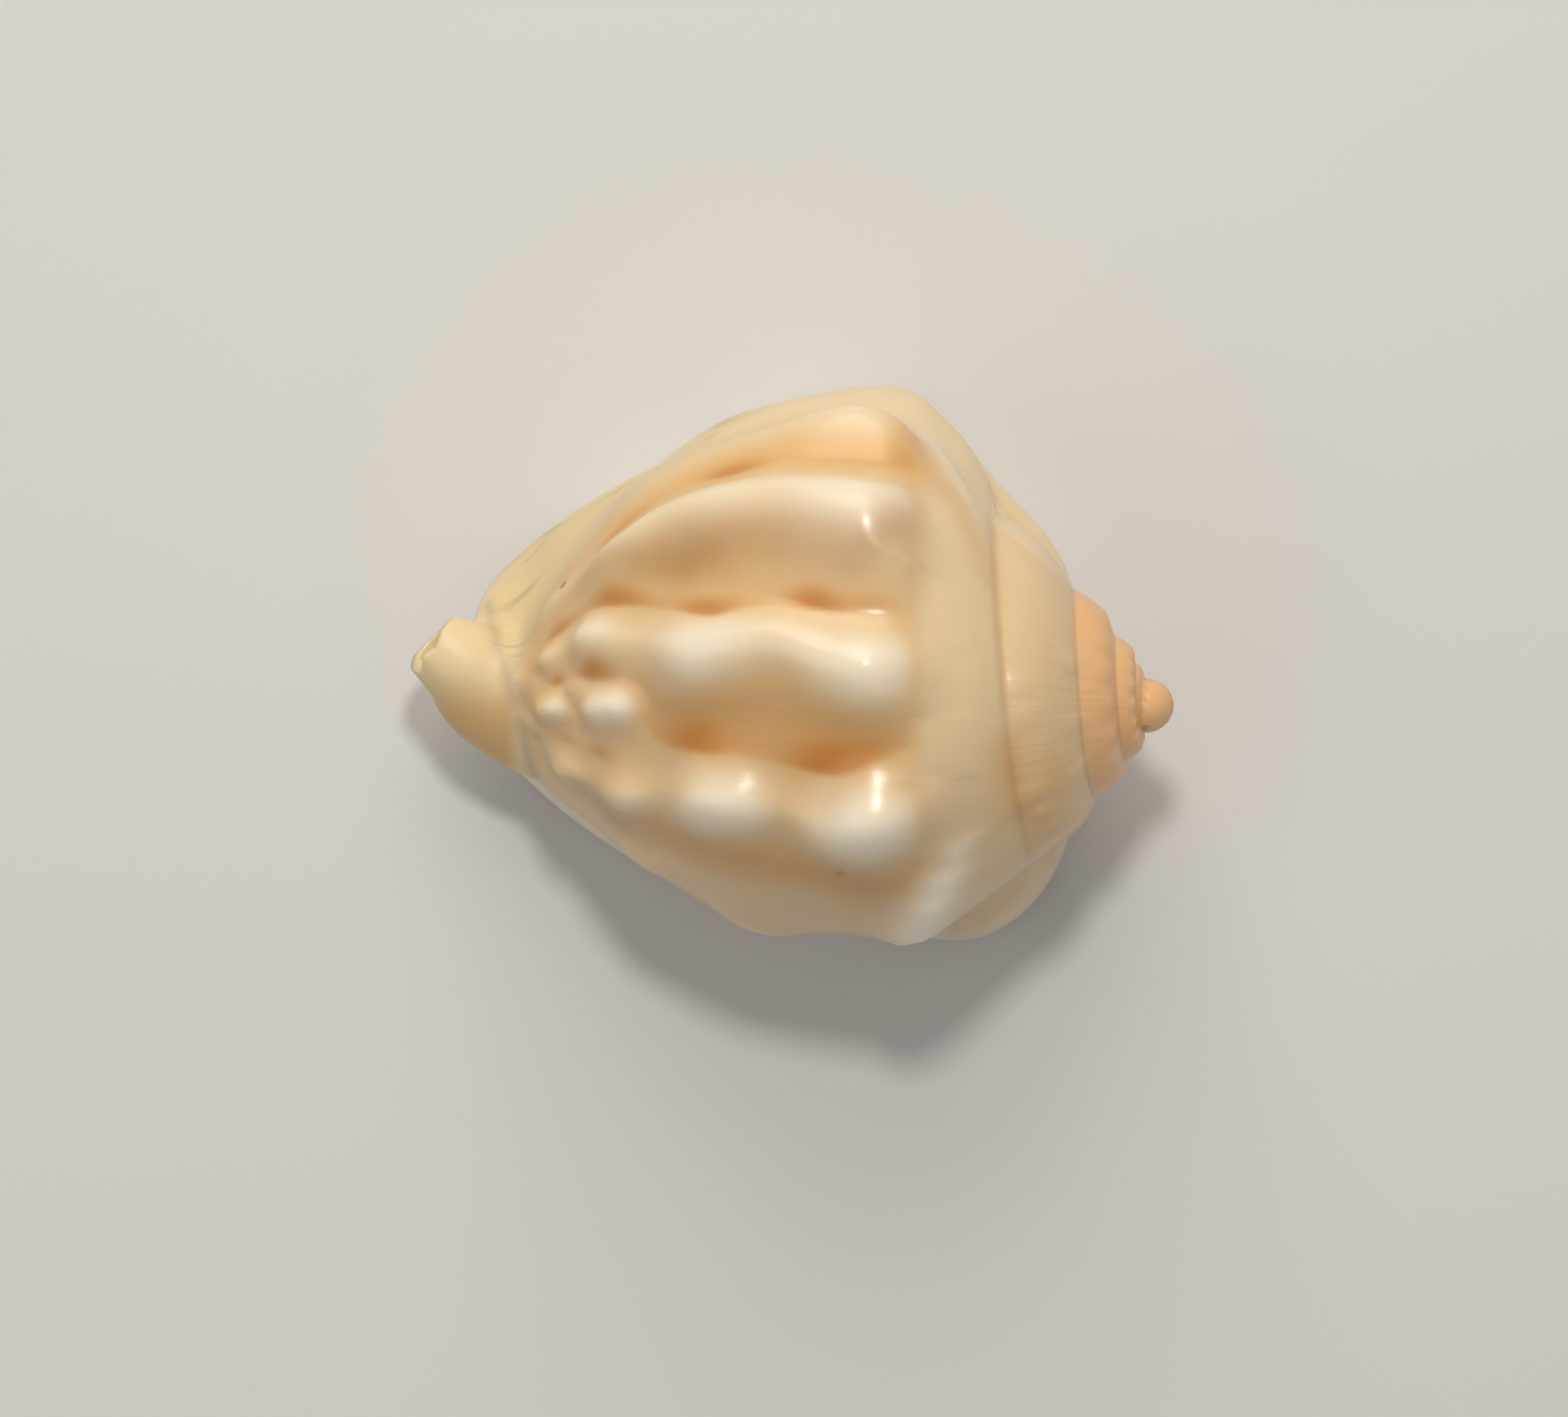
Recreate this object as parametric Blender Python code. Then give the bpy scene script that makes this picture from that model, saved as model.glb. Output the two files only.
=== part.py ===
# Helmet shell, 52 mm long, lying on its aperture with the spire along +X and the outer lip towards +Y.
# One grown piece: the coiled whorls, the callus that spreads under them as shield and outer lip,
# and the short siphonal canal, hollowed by the aperture that runs back into the last whorl.
# Shapes are worked out in millimetres from the tip of the coil's own cone and placed in metres.

import bpy
import bmesh
import math
import numpy as np

# Overall placing
mm = 0.001
axisTilt = 5.0          # degrees that the coil's axis rises towards the spire
apexHeight = 15.3       # tip of the coil's cone above the resting plane
centreX = -24.35        # middle of the shell's length, from the tip of the cone
centreY = 2.8           # middle of its width, from the axis

# Spiral of the suture, where each whorl meets the one before it
sutureRadius = 11.6     # at the back of the last whorl
whorlGrowth = 1.66      # growth of that radius in one turn
spireTop = 0.55         # distance below the cone's tip is spireDrop * radius ** spireCurve - spireTop
spireDrop = 0.36
spireCurve = 1.34
lipTurn = 140 / 360     # turns from the middle of the back to the outer lip
turnsInAll = 5
whorlBulge = 0.085      # how far a spire whorl swells, as a share of its radius

# First whorl, a smooth bulb
bulbRadius = 1.85
bulbCentre = -0.2
bulbStart = lipTurn - turnsInAll + 1
bulbEnd = -3.15
bulbArc = 95.0

# Outlines of the last whorl from suture to front end, as (distance along the axis, radius)
outlineAtLip = ((-11.2, 13.6), (-13.0, 16.5), (-15.6, 19.1), (-18.6, 20.1), (-24.9, 19.5), (-33.4, 16.4),
                (-38.4, 12.4), (-41.6, 8.4), (-43.6, 4.4), (-44.3, 0.0))
outlineAtShield = ((-7.8, 10.3), (-10.0, 13.0), (-13.0, 15.0), (-16.5, 15.7), (-22.5, 15.3), (-28.5, 14.1),
                   (-34.2, 11.1), (-39.0, 7.4), (-42.6, 4.2), (-43.9, 0.0))
shoulderKnot = 3        # knot of those outlines just in front of the shoulder
backFlattening = 0.13   # the last whorl is lower than it is wide by this share
flattenFrom, flattenTo = 6.0, 16.0      # distances in front of the tip over which that sets in
frontDrop = 5.2         # how far the coil's front end bends down
bendFrom, bendTo = 24.0, 52.0           # distances over which it bends
squareLip = 0.3         # how much squarer than a circle its section is on the lip's side
squareFrom, squareTo = 8.0, 44.0        # distances between which it is squarer
squareEase = 8.0        # distance in which the squareness sets in at either end
earliestShape = -0.45   # the outlines are carried on this far before the shield's, and no farther
seamEase = 1 / 3        # part of a turn in which the spire's wall passes to the last whorl's

# Ribs and knobs are mounds whose height falls off as exp(-moundFall * far ** 2), far being 1 at the
# half width; they begin a little after the last whorl does.
moundFall = 0.8
moundsFrom, moundsTo = -0.85, -0.7      # turns before the lip between which they set in

# Ribs of the last whorl, each a crest that runs forwards and swells to knobs:
# (along, degrees, half width towards the lip, half width away from it, height)
ribs = (
    (
        (-14.4, 70, 1.8, 2.2, 0.0), (-16.3, 70, 2.2, 2.2, 2.0), (-18.8, 70, 2.3, 2.3, 2.9),
        (-22.0, 70, 2.2, 2.3, 2.2), (-25.5, 71, 1.9, 2.5, 1.2), (-30.0, 70, 1.8, 2.4, 0.9),
        (-34.5, 68, 1.5, 2.0, 0.5), (-38.5, 66, 1.2, 1.6, 0.0),
    ),
    (
        (-14.0, 42, 2.2, 3.6, 0.0), (-15.8, 42, 2.5, 4.2, 1.9), (-18.0, 43, 2.6, 4.6, 2.4),
        (-22.0, 44, 2.4, 4.2, 2.1), (-25.6, 45, 2.2, 3.4, 1.6), (-29.2, 47, 2.0, 2.8, 1.8),
        (-32.6, 48, 1.6, 2.4, 1.1), (-35.6, 49, 1.4, 2.2, 1.2), (-38.0, 48, 1.2, 1.5, 0.5),
        (-40.0, 47, 1.0, 1.3, 0.6), (-42.0, 46, 0.8, 1.0, 0.0),
    ),
    (
        (-14.0, 8, 1.8, 2.2, 0.0), (-15.8, 8, 2.2, 2.7, 1.9), (-18.0, 8, 2.3, 3.0, 2.4),
        (-20.8, 10, 2.1, 2.6, 1.8), (-24.0, 14, 1.9, 2.2, 1.4), (-27.0, 14, 2.0, 2.5, 1.6),
        (-30.0, 13, 2.0, 2.6, 1.9), (-33.0, 16, 1.4, 2.0, 0.9), (-36.4, 20, 1.4, 2.0, 1.3),
        (-38.8, 21, 1.0, 1.4, 0.6), (-40.6, 22, 0.9, 1.2, 0.8), (-42.6, 30, 0.7, 0.9, 0.0),
    ),
    (
        (-13.6, -27, 1.8, 2.2, 0.0), (-15.6, -27, 2.3, 2.7, 1.9), (-18.4, -28, 2.5, 2.8, 2.5),
        (-21.4, -29, 2.0, 2.3, 1.5), (-23.8, -26, 1.6, 1.9, 0.8), (-26.6, -23, 2.0, 2.4, 1.8),
        (-29.4, -23, 2.1, 2.5, 2.0), (-32.0, -26, 1.4, 1.8, 0.7), (-34.8, -28, 1.5, 1.9, 1.3),
        (-37.2, -30, 1.0, 1.3, 0.5), (-39.4, -32, 1.0, 1.2, 0.8), (-41.6, -33, 0.8, 0.9, 0.0),
    ),
)

# Lone knobs and short ridges: (along, degrees) at the two ends, half width, height
knobs = (
    ((-35.0, 0), (-36.5, -1), 1.5, 1.3), ((-40.1, -3), (-40.8, -4), 1.1, 1.0),
    ((-42.7, 14), (-42.7, 14), 0.8, 0.6), ((-42.6, 42), (-42.9, 40), 0.8, 0.5),
    ((-38.4, 6), (-38.6, 5), 0.9, 0.5), ((-12.6, -42), (-13.6, -54), 1.1, 1.1),
    ((-13.6, -54), (-15.0, -72), 1.5, 1.6), ((-25.8, -84), (-26.6, -84), 2.4, 0.8),
    ((-33.6, -60), (-34.4, -60), 1.7, 0.6),
)

# Callus under the shell, seen from above: (along the axis, across it, thickness of its edge, how far
# the edge is rounded, width and rise of the brim up to the coil, how domed the brim is, from 0 to 1)
callusEdge = (
    (-45.2, -2.0, 4.0, 1.2, 4.2, 3.0, 0.0), (-41.2, -6.3, 3.2, 1.0, 3.5, 4.0, 0.0),
    (-36.6, -9.8, 2.6, 0.9, 3.4, 6.0, 0.0), (-32.0, -12.2, 2.6, 0.9, 3.4, 7.0, 0.0),
    (-25.0, -14.2, 2.8, 0.9, 3.4, 7.0, 0.0), (-18.5, -15.4, 4.0, 1.4, 3.6, 7.0, 0.2),
    (-13.2, -16.2, 8.5, 2.8, 3.6, 8.0, 1.0), (-9.8, -15.6, 10.5, 3.4, 3.8, 9.0, 1.0),
    (-6.8, -13.1, 10.5, 3.4, 3.8, 9.0, 1.0), (-5.0, -8.0, 8.5, 2.8, 3.8, 7.0, 0.8),
    (-4.6, -1.0, 3.6, 1.2, 4.6, 7.0, 0.0), (-4.5, 6.0, 3.2, 1.0, 4.6, 7.0, 0.0),
    (-6.2, 11.0, 3.2, 1.0, 4.4, 7.0, 0.0), (-10.0, 15.3, 3.6, 1.1, 4.2, 7.0, 0.0),
    (-13.4, 19.2, 4.6, 1.4, 3.8, 6.0, 0.2), (-15.8, 21.5, 5.4, 1.6, 3.8, 5.0, 0.4),
    (-19.0, 22.0, 6.0, 1.8, 3.8, 5.0, 0.4), (-24.5, 21.0, 6.0, 1.8, 3.8, 5.0, 0.4),
    (-29.1, 19.6, 5.6, 1.7, 3.8, 5.0, 0.4), (-33.4, 16.8, 5.2, 1.6, 3.8, 5.0, 0.4),
    (-37.6, 14.4, 5.0, 1.6, 3.8, 5.0, 0.4), (-41.9, 11.6, 5.0, 1.6, 4.0, 4.4, 0.4),
    (-44.9, 9.0, 4.8, 1.6, 4.2, 4.0, 0.3), (-46.1, 6.4, 4.6, 1.4, 4.6, 3.0, 0.0),
    (-46.4, 2.2, 4.4, 1.3, 4.6, 3.0, 0.0),
)
lipEdgeFirst, lipEdgeLast = 13, 25
lipSetback = 0.25       # the coil stays this far inside the callus
lipBegins, lipReached = 76.0, 96.0      # degrees round the axis between which the lip swells out
flareBack, flareFront = 13.0, 41.0      # distances in front of the tip between which the lip flares fully
flareEase = 5.0
callusCentre = (-24.0, 3.0)
hollowRise = 1.3        # how far the middle of the shield stands off the resting plane
hollowMiddle = (-24.0, -3.5)
hollowReach = (15.0, 8.5)
frontLift = 4.2         # how far the front of the callus stands off it
liftFrom, liftTo = 36.0, 48.0           # distances over which that lift sets in
shieldShares = (0.14, 0.3, 0.45, 0.6, 0.72, 0.84, 0.94)
brimShares = (0.3, 0.6, 0.8, 1.0)
edgeRings = 8
callusTop = 14.0        # height inside the coil at which the callus closes

# Siphonal canal: (along, across, height, half width across, half depth)
canalPath = (
    (-37.0, -0.5, 6.5, 5.0, 4.4), (-41.0, 0.2, 6.9, 5.3, 4.8), (-44.6, 1.3, 7.6, 4.3, 3.9),
    (-47.0, 3.0, 8.8, 3.1, 3.0), (-48.9, 4.3, 9.2, 2.35, 2.4),
)
canalWall = 0.9
boreBeyond = 1.2        # how far the bore runs past the canal's end, in steps of its path
# chips in its broken end: (degrees round it, how far the edge stands out there)
canalChips = (
    (15, 0.0), (60, 0.25), (95, -0.15), (120, 0.2), (150, -0.35), (180, 0.1), (230, 0.3), (300, -0.2),
)

# Aperture, seen from below: (along the axis, across it, half width)
apertureMiddle = (
    (-13.0, 10.0, 1.0), (-20.0, 10.8, 1.7), (-28.0, 9.6, 1.8), (-36.0, 6.6, 1.8), (-42.2, 3.7, 1.6),
)
mouthRise = 1.8         # how far the callus curves up into the aperture
mouthReach = 4.2
skinUnder = 1.1         # callus between the coil and the underside
wallThickness = 1.9
lipThickness = 3.6
apertureAngles = (-40.0, -20.0, 5.0, 30.0, 55.0, 80.0, 100.0)
mouthHeights = (5.2, 2.0, -2.0)
hollowBack = (-13.1, -12.6)             # back end of the hollow, deep inside and near the mouth
hollowFront = (-30.0, -39.5)            # front end of it
deepSize = 0.45         # size of its section deep inside, as a share of the room there

# How finely the shape is divided
columnsPerTurn = 72
rowsPerWhorl = 6
rowsToFront = 20
callusColumns = 60
apertureColumns = 28
canalColumns = 20


def ease(low, high, value):
    """From 0 at low to 1 at high, level at both ends."""
    share = np.clip((value - low) / (high - low), 0.0, 1.0)
    return share * share * (3.0 - 2.0 * share)


def through(points, t, closed=False):
    """A smooth curve through the points, one cubic between each two; t counts the points."""
    points = np.asarray(points, float)
    count = len(points)
    first = np.floor(t).astype(int)
    if closed:
        around = [points[(first + step) % count] for step in (-1, 0, 1, 2)]
    else:
        first = np.clip(first, 0, count - 2)
        around = [points[np.clip(first + step, 0, count - 1)] for step in (-1, 0, 1, 2)]
    a, b, c, d = around
    f = (t - first)[..., None]
    return 0.5 * (2 * b + (c - a) * f + (2 * a - 5 * b + 4 * c - d) * f**2 + (3 * (b - c) + d - a) * f**3)


def sutureAt(turn):
    """Distance along the axis and radius of the suture, a spiral that starts on the bulb."""
    radius = sutureRadius * whorlGrowth**turn
    spiral = np.stack([spireTop - spireDrop * radius**spireCurve, radius], -1)
    arc = np.radians(bulbArc) * np.clip((turn - bulbStart) / (bulbEnd - bulbStart), 0.0, 1.0)
    bulb = np.stack([bulbCentre + bulbRadius * np.cos(arc), bulbRadius * np.sin(arc)], -1)
    onSpiral = ease(bulbEnd, bulbEnd + 0.25, turn)[..., None]
    return bulb + (spiral - bulb) * onSpiral


def spireWall(turn, down):
    """The wall of a spire whorl, down being 0 at its upper suture and 1 at its lower one."""
    here = sutureAt(turn + down)
    along = sutureAt(turn + down + 0.01) - sutureAt(turn + down - 0.01)
    outward = np.stack([along[..., 1], -along[..., 0]], -1)
    outward /= np.maximum(np.linalg.norm(outward, axis=-1, keepdims=True), 1e-9)
    swell = whorlBulge * here[..., 1] * np.sin(np.pi * np.clip(down, 0.0, 1.0) ** 1.7) ** 0.8
    return here + outward * swell[..., None]


def lastWall(turn, down):
    """The wall of the last whorl, down being 0 at the suture, 1 past the shoulder and 2 at the front."""
    knots = len(outlineAtLip) - 1
    t = np.where(down < 1, down * shoulderKnot, shoulderKnot + (down - 1) * (knots - shoulderKnot))
    toLip = ((turn + 0.25) / 0.5)[..., None]
    early, late = through(outlineAtShield, t), through(outlineAtLip, t)
    toLip = np.maximum(toLip, earliestShape)
    wall = early + (late - early) * toLip
    start = early[..., :1, :] + (late - early)[..., :1, :] * toLip[..., :1, :]
    fromSuture = (sutureAt(turn[..., :1]) - start) * (1 - ease(0, 0.9, down))[..., None]
    return wall + fromSuture


def coilOutline(turn, down):
    """Wall of any whorl: spire form up to the aperture, passing to the last whorl's under the shield."""
    begun = ease(lipTurn - 1, lipTurn - 1 + seamEase, turn)[..., None]
    last = lastWall(turn, down)
    spire = spireWall(turn, np.minimum(down, 1.0))
    atSeam = lastWall(turn[..., :1], np.ones_like(turn[..., :1]))
    spireBelow = last + (sutureAt(turn[..., :1] + 1) - atSeam) * (1 - ease(1, 1.6, down))[..., None]
    spire = np.where((down <= 1)[..., None], spire, spireBelow)
    return spire + (last - spire) * begun


def lipFlare(x, radius, angle):
    """Radius near the outer lip, where the last whorl swells out to the edge of the callus."""
    edge = np.asarray(callusEdge)[lipEdgeFirst:lipEdgeLast, :2]
    reach = np.interp(-x, -edge[:, 0], edge[:, 1] - lipSetback)
    upright = np.maximum(np.sin(np.radians(np.clip(angle, 90, 130))), 0.5) ** 0.7
    along = ease(flareBack - flareEase, flareBack, -x) * (1 - ease(flareFront, flareFront + flareEase, -x))
    share = ease(lipBegins, lipReached, angle) * along
    return radius + np.maximum(reach / upright - radius, 0) * share


def squareness(x, angle):
    """Radius of a superellipse of unit half axes, with more than a circle's power on the lip's side."""
    along = ease(squareFrom, squareFrom + squareEase, -x) * (1 - ease(squareTo - squareEase, squareTo, -x))
    lipSide = ease(0, 45, angle) * (1 - ease(120, 140, angle)) * along
    power = 2 + squareLip * lipSide
    side, up = np.abs(np.sin(np.radians(angle))), np.abs(np.cos(np.radians(angle)))
    return (side**power + up**power) ** (-1 / power)


def ribHeight(x, angle, radius):
    """Height of the ribs at a place; where two meet, the higher rules."""
    total = np.zeros_like(x)
    for rib in ribs:
        knots = np.asarray(rib)
        t = np.interp(-x, -knots[:, 0], np.arange(len(knots)))
        crest, toLip, away, height = np.moveaxis(through(knots[:, 1:], t), -1, 0)
        across = radius * np.radians((angle - crest + 180) % 360 - 180)
        far = across / np.where(across > 0, toLip, away)
        total += (np.maximum(height, 0) * np.exp(-moundFall * far**2)) ** 3
    return np.cbrt(total)


def knobHeight(x, angle, radius):
    """Height of the lone knobs and short ridges, each a rounded mound along its line."""
    total = np.zeros_like(x)
    for (x1, angle1), (x2, angle2), halfWidth, height in knobs:
        across = radius * np.radians((angle - angle1 + 180) % 360 - 180)
        lengthX, lengthA = x2 - x1, radius * np.radians(angle2 - angle1)
        share = (x - x1) * lengthX + across * lengthA
        share = np.clip(share / np.maximum(lengthX**2 + lengthA**2, 0.01), 0, 1)
        far = np.hypot(x - x1 - share * lengthX, across - share * lengthA) / halfWidth
        total += (height * np.exp(-moundFall * far**2)) ** 3
    return np.cbrt(total)


def turned(x, radius, angle):
    """Places on the coil, from the outline and the angle round the axis, then tilted and lifted."""
    flat = 1 - backFlattening * ease(flattenFrom, flattenTo, -x)
    across = radius * np.sin(np.radians(angle))
    up = flat * radius * np.cos(np.radians(angle)) - frontDrop * ease(bendFrom, bendTo, -x)
    tilt = math.radians(axisTilt)
    return np.stack([x * math.cos(tilt) - up * math.sin(tilt), across,
                     apexHeight + x * math.sin(tilt) + up * math.cos(tilt)], -1)


def placed(points):
    """From millimetres at the cone's tip to metres at the middle of the resting plane."""
    return (points - np.array([centreX, centreY, 0.0])) * mm


def normalsOf(grid):
    across = np.cross(np.gradient(grid, axis=0), np.gradient(grid, axis=1))
    return across / np.maximum(np.linalg.norm(across, axis=-1, keepdims=True), 1e-9)


def makeObject(name, points, faces):
    """An object from points and faces, its faces turned outwards."""
    mesh = bpy.data.meshes.new(name)
    mesh.from_pydata([tuple(p) for p in placed(np.asarray(points))], [], faces)
    build = bmesh.new()
    build.from_mesh(mesh)
    bmesh.ops.remove_doubles(build, verts=build.verts, dist=1e-6)
    bmesh.ops.recalc_face_normals(build, faces=build.faces)
    build.to_mesh(mesh)
    build.free()
    mesh.shade_smooth()
    obj = bpy.data.objects.new(name, mesh)
    bpy.context.collection.objects.link(obj)
    return obj


def makeCoil():
    """The whorls: a strip that winds round the axis and shares its edge with the turn before."""
    n, total = columnsPerTurn, columnsPerTurn * turnsInAll
    rows = rowsPerWhorl + rowsToFront
    column = np.arange(total + 1)
    turn = lipTurn - turnsInAll + column / n
    down = np.concatenate([np.linspace(0, 1, rowsPerWhorl + 1), 1 + np.linspace(0, 1, rowsToFront + 1)[1:]])
    turnGrid, downGrid = np.meshgrid(turn, down, indexing="ij")
    outline = coilOutline(turnGrid, downGrid)
    angle = 360 * turnGrid
    x = outline[..., 0]
    onLast = ease(lipTurn + moundsFrom, lipTurn + moundsTo, turnGrid)
    radius = lipFlare(x, outline[..., 1] * (1 + (squareness(x, angle) - 1) * onLast), angle)
    grid = turned(x, radius, angle)
    height = np.cbrt(ribHeight(x, angle, radius) ** 3 + knobHeight(x, angle, radius) ** 3)
    grid += normalsOf(grid) * (height * onLast)[..., None]
    floor = undersideRise(grid[..., 0], grid[..., 1]) + skinUnder
    above = grid[..., 2] - floor
    grid[..., 2] = floor + np.where(above > 1, above, np.exp(np.minimum(above, 1) - 1))

    index = np.arange((total + 1) * (rows + 1)).reshape(total + 1, rows + 1)
    joined = index.copy()
    joined[:total + 1 - n, rowsPerWhorl] = index[n:, 0]
    joined[0, :] = index[0, 0]
    joined[:n + 1, 0] = index[0, 0]
    joined[total - n:, rows] = index[total, rows]
    faces = []
    for i in range(total):
        last = rows if i >= total - n else rowsPerWhorl
        for j in range(last):
            faces.append((joined[i, j], joined[i + 1, j], joined[i + 1, j + 1], joined[i, j + 1]))
    inner = joined[total - n]
    for j in range(rows):
        here = rowsPerWhorl + round(j * rowsToFront / rows)
        there = rowsPerWhorl + round((j + 1) * rowsToFront / rows)
        faces.append((joined[total, j], inner[here], inner[there], joined[total, j + 1]))
    clean = []
    for face in faces:
        corners = list(dict.fromkeys(int(v) for v in face))
        if len(corners) > 2:
            clean.append(corners)
    used = sorted({v for face in clean for v in face})
    renumber = {v: k for k, v in enumerate(used)}
    points = grid.reshape(-1, 3)[used]
    return makeObject("shell", points, [[renumber[v] for v in face] for face in clean])


def ringFaces(rings, columns, startPole, endPole):
    """Faces of rings of points laid one after another, closed by a pole at each end."""
    faces = []
    for i in range(rings - 1):
        for j in range(columns):
            k = (j + 1) % columns
            faces.append((i * columns + j, i * columns + k, (i + 1) * columns + k, (i + 1) * columns + j))
    for j in range(columns):
        k = (j + 1) % columns
        faces.append((startPole, k, j))
        faces.append((endPole, (rings - 1) * columns + j, (rings - 1) * columns + k))
    return faces


def makeRings(name, rings, startPole, endPole):
    rings = np.asarray(rings)
    count, columns = rings.shape[:2]
    points = np.concatenate([rings.reshape(-1, 3), [startPole], [endPole]])
    return makeObject(name, points, ringFaces(count, columns, count * columns, count * columns + 1))


def mouthAt(x):
    """Middle and half width of the aperture at distances x along the axis."""
    knots = np.asarray(apertureMiddle)
    t = np.interp(-x, -knots[:, 0], np.arange(len(knots)))
    return through(knots[:, 1:], t)


def undersideRise(x, y):
    """Height of the underside: level where it rests, hollow in the shield's middle and by the aperture."""
    near = np.hypot((x - hollowMiddle[0]) / hollowReach[0], (y - hollowMiddle[1]) / hollowReach[1])
    hollow = hollowRise * (1 - ease(0, 1, near))
    away = np.abs(y - mouthAt(x)[..., 0])
    past = np.maximum(np.maximum(x - apertureMiddle[0][0], apertureMiddle[-1][0] - x), 0)
    mouth = mouthRise * (1 - ease(0, mouthReach, np.hypot(away, past)))
    return np.maximum(hollow, mouth) + frontLift * ease(liftFrom, liftTo, -x)


def makeCallus():
    """Shield and outer lip: one plate with a rounded edge that follows an outline seen from above."""
    t = np.arange(callusColumns) / callusColumns * len(callusEdge)
    edge = through(callusEdge, t, closed=True)
    rim = edge[:, :2]
    thick, bend, brim, rise, domed = edge[:, 2:].T
    centre = np.array(callusCentre)
    reach = np.linalg.norm(rim - centre, axis=1)
    toCentre = (centre - rim) / reach[:, None]
    rings = []
    for share in shieldShares:
        place = centre - toCentre * ((reach - bend) * share)[:, None]
        rings.append((place, undersideRise(*place.T)))
    lift = undersideRise(*(rim + toCentre * bend[:, None]).T)
    for angle in np.radians(np.linspace(-90, 90, edgeRings)):
        place = rim + toCentre * (bend * (1 - math.cos(angle)))[:, None]
        rings.append((place, lift + thick * (1 + math.sin(angle)) / 2))
    for share in brimShares:
        place = rim + toCentre * (bend + brim * share)[:, None]
        hollowed, swollen = share**1.8, 0.9 * math.sin(math.pi / 2 * share)
        rings.append((place, lift + thick + rise * (hollowed + (swollen - hollowed) * domed)))
    solid = [np.column_stack(ring) for ring in rings]
    bottom = np.array([*callusCentre, float(undersideRise(*np.array(callusCentre)[:, None])[0])])
    top = np.array([*callusCentre, callusTop])
    return makeRings("callus", solid, bottom, top)


def makeTube(name, path, columns, steps, chips=None):
    """A round tube through the path's points: middle, half width across it and half depth."""
    t = np.linspace(0, len(path) - 1, steps)
    at = through(path, t)
    middle = at[:, :3]
    ahead = np.gradient(middle, axis=0)
    ahead /= np.linalg.norm(ahead, axis=1, keepdims=True)
    side = np.cross(ahead, [0, 0, 1.0])
    side /= np.linalg.norm(side, axis=1, keepdims=True)
    up = np.cross(side, ahead)
    a = np.arange(columns) / columns * 2 * np.pi
    rings = (middle[:, None] + np.cos(a)[None, :, None] * side[:, None] * at[:, None, 3:4]
             + np.sin(a)[None, :, None] * up[:, None] * at[:, None, 4:5])
    if chips:
        places = np.asarray(chips)
        jag = np.interp(np.degrees(a), places[:, 0], places[:, 1], period=360)
        share = ease(len(path) - 2.2, len(path) - 1, t)
        rings += ahead[:, None] * (share[:, None] * jag[None, :])[..., None]
    return makeRings(name, rings, middle[0], middle[-1])


def makeBore():
    """The canal's bore, a wall's thickness smaller, running out through its broken end."""
    path = np.array(canalPath)[1:]
    path[:, 3:] -= canalWall
    beyond = path[-1] + (path[-1] - path[-2]) * boreBeyond
    beyond[3:] = path[-1, 3:]
    return makeTube("canal_bore", np.vstack([path, beyond]), canalColumns, 9)


def wallRadius(turn, x):
    """Radius of the coil's wall at one turn, for distances x along the axis."""
    down = np.linspace(0, 2, 81)
    outline = coilOutline(np.full_like(down, turn)[None], down[None])[0]
    order = np.argsort(outline[:, 0])
    return np.interp(x, outline[order, 0], outline[order, 1])


def makeAperture():
    """The hollow: sections across the last whorl from deep inside to the narrow mouth below."""
    a = np.arange(apertureColumns) / apertureColumns * 2 * np.pi
    along, side = np.cos(a), np.sign(np.sin(a)) * np.abs(np.sin(a)) ** 0.75
    rings = []
    for k, angle in enumerate(apertureAngles):
        near = k / (len(apertureAngles) - 1)
        back = hollowBack[0] + (hollowBack[1] - hollowBack[0]) * near
        front = hollowFront[0] + (hollowFront[1] - hollowFront[0]) * near
        x = (back + front) / 2 + (back - front) / 2 * along
        wall = wallThickness + (lipThickness - wallThickness) * ease(60, 110, angle)
        outer = wallRadius(angle / 360, x) - wall
        inner = np.minimum(wallRadius(angle / 360 - 1, x) + 1.0, outer - 1.0)
        size = deepSize + (1 - deepSize) * ease(-0.2, 0.35, near)
        radius = (outer + inner) / 2 + (outer - inner) / 2 * side * size
        rings.append(turned(x, radius, angle))
    for height in mouthHeights:
        back, front = apertureMiddle[0][0] + 0.6, apertureMiddle[-1][0] - 0.6
        x = (back + front) / 2 + (back - front) / 2 * along
        middle, half = mouthAt(x).T
        lift = frontLift * ease(liftFrom, liftTo, -x) * (height > 0)
        rings.append(np.stack([x, middle + half * side * (1 + 0.06 * height), height + lift], -1))
    return makeRings("aperture", rings, np.mean(rings[0], axis=0), np.mean(rings[-1], axis=0))


def makeMaterial(name, colour, roughness):
    material = bpy.data.materials.new(name)
    material.use_nodes = True
    shader = material.node_tree.nodes["Principled BSDF"]
    shader.inputs["Base Color"].default_value = (*colour, 1.0)
    shader.inputs["Roughness"].default_value = roughness
    shader.inputs["Metallic"].default_value = 0.0
    return material


def joinTo(obj, tool, operation):
    """Adds or takes away a helper shape, which stays out of the render."""
    cut = obj.modifiers.new(tool.name, "BOOLEAN")
    cut.operation = operation
    cut.object = tool
    tool.hide_render = True
    tool.display_type = "WIRE"


def main():
    for old in list(bpy.data.objects):
        bpy.data.objects.remove(old)
    shell = makeCoil()
    shell.data.materials.append(makeMaterial("porcelain", (0.86, 0.70, 0.52), 0.25))
    canal = makeTube("canal", canalPath, canalColumns, 9, canalChips)
    joinTo(canal, makeBore(), "DIFFERENCE")
    joinTo(shell, makeCallus(), "UNION")
    joinTo(shell, canal, "UNION")
    joinTo(shell, makeAperture(), "DIFFERENCE")


main()
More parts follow.
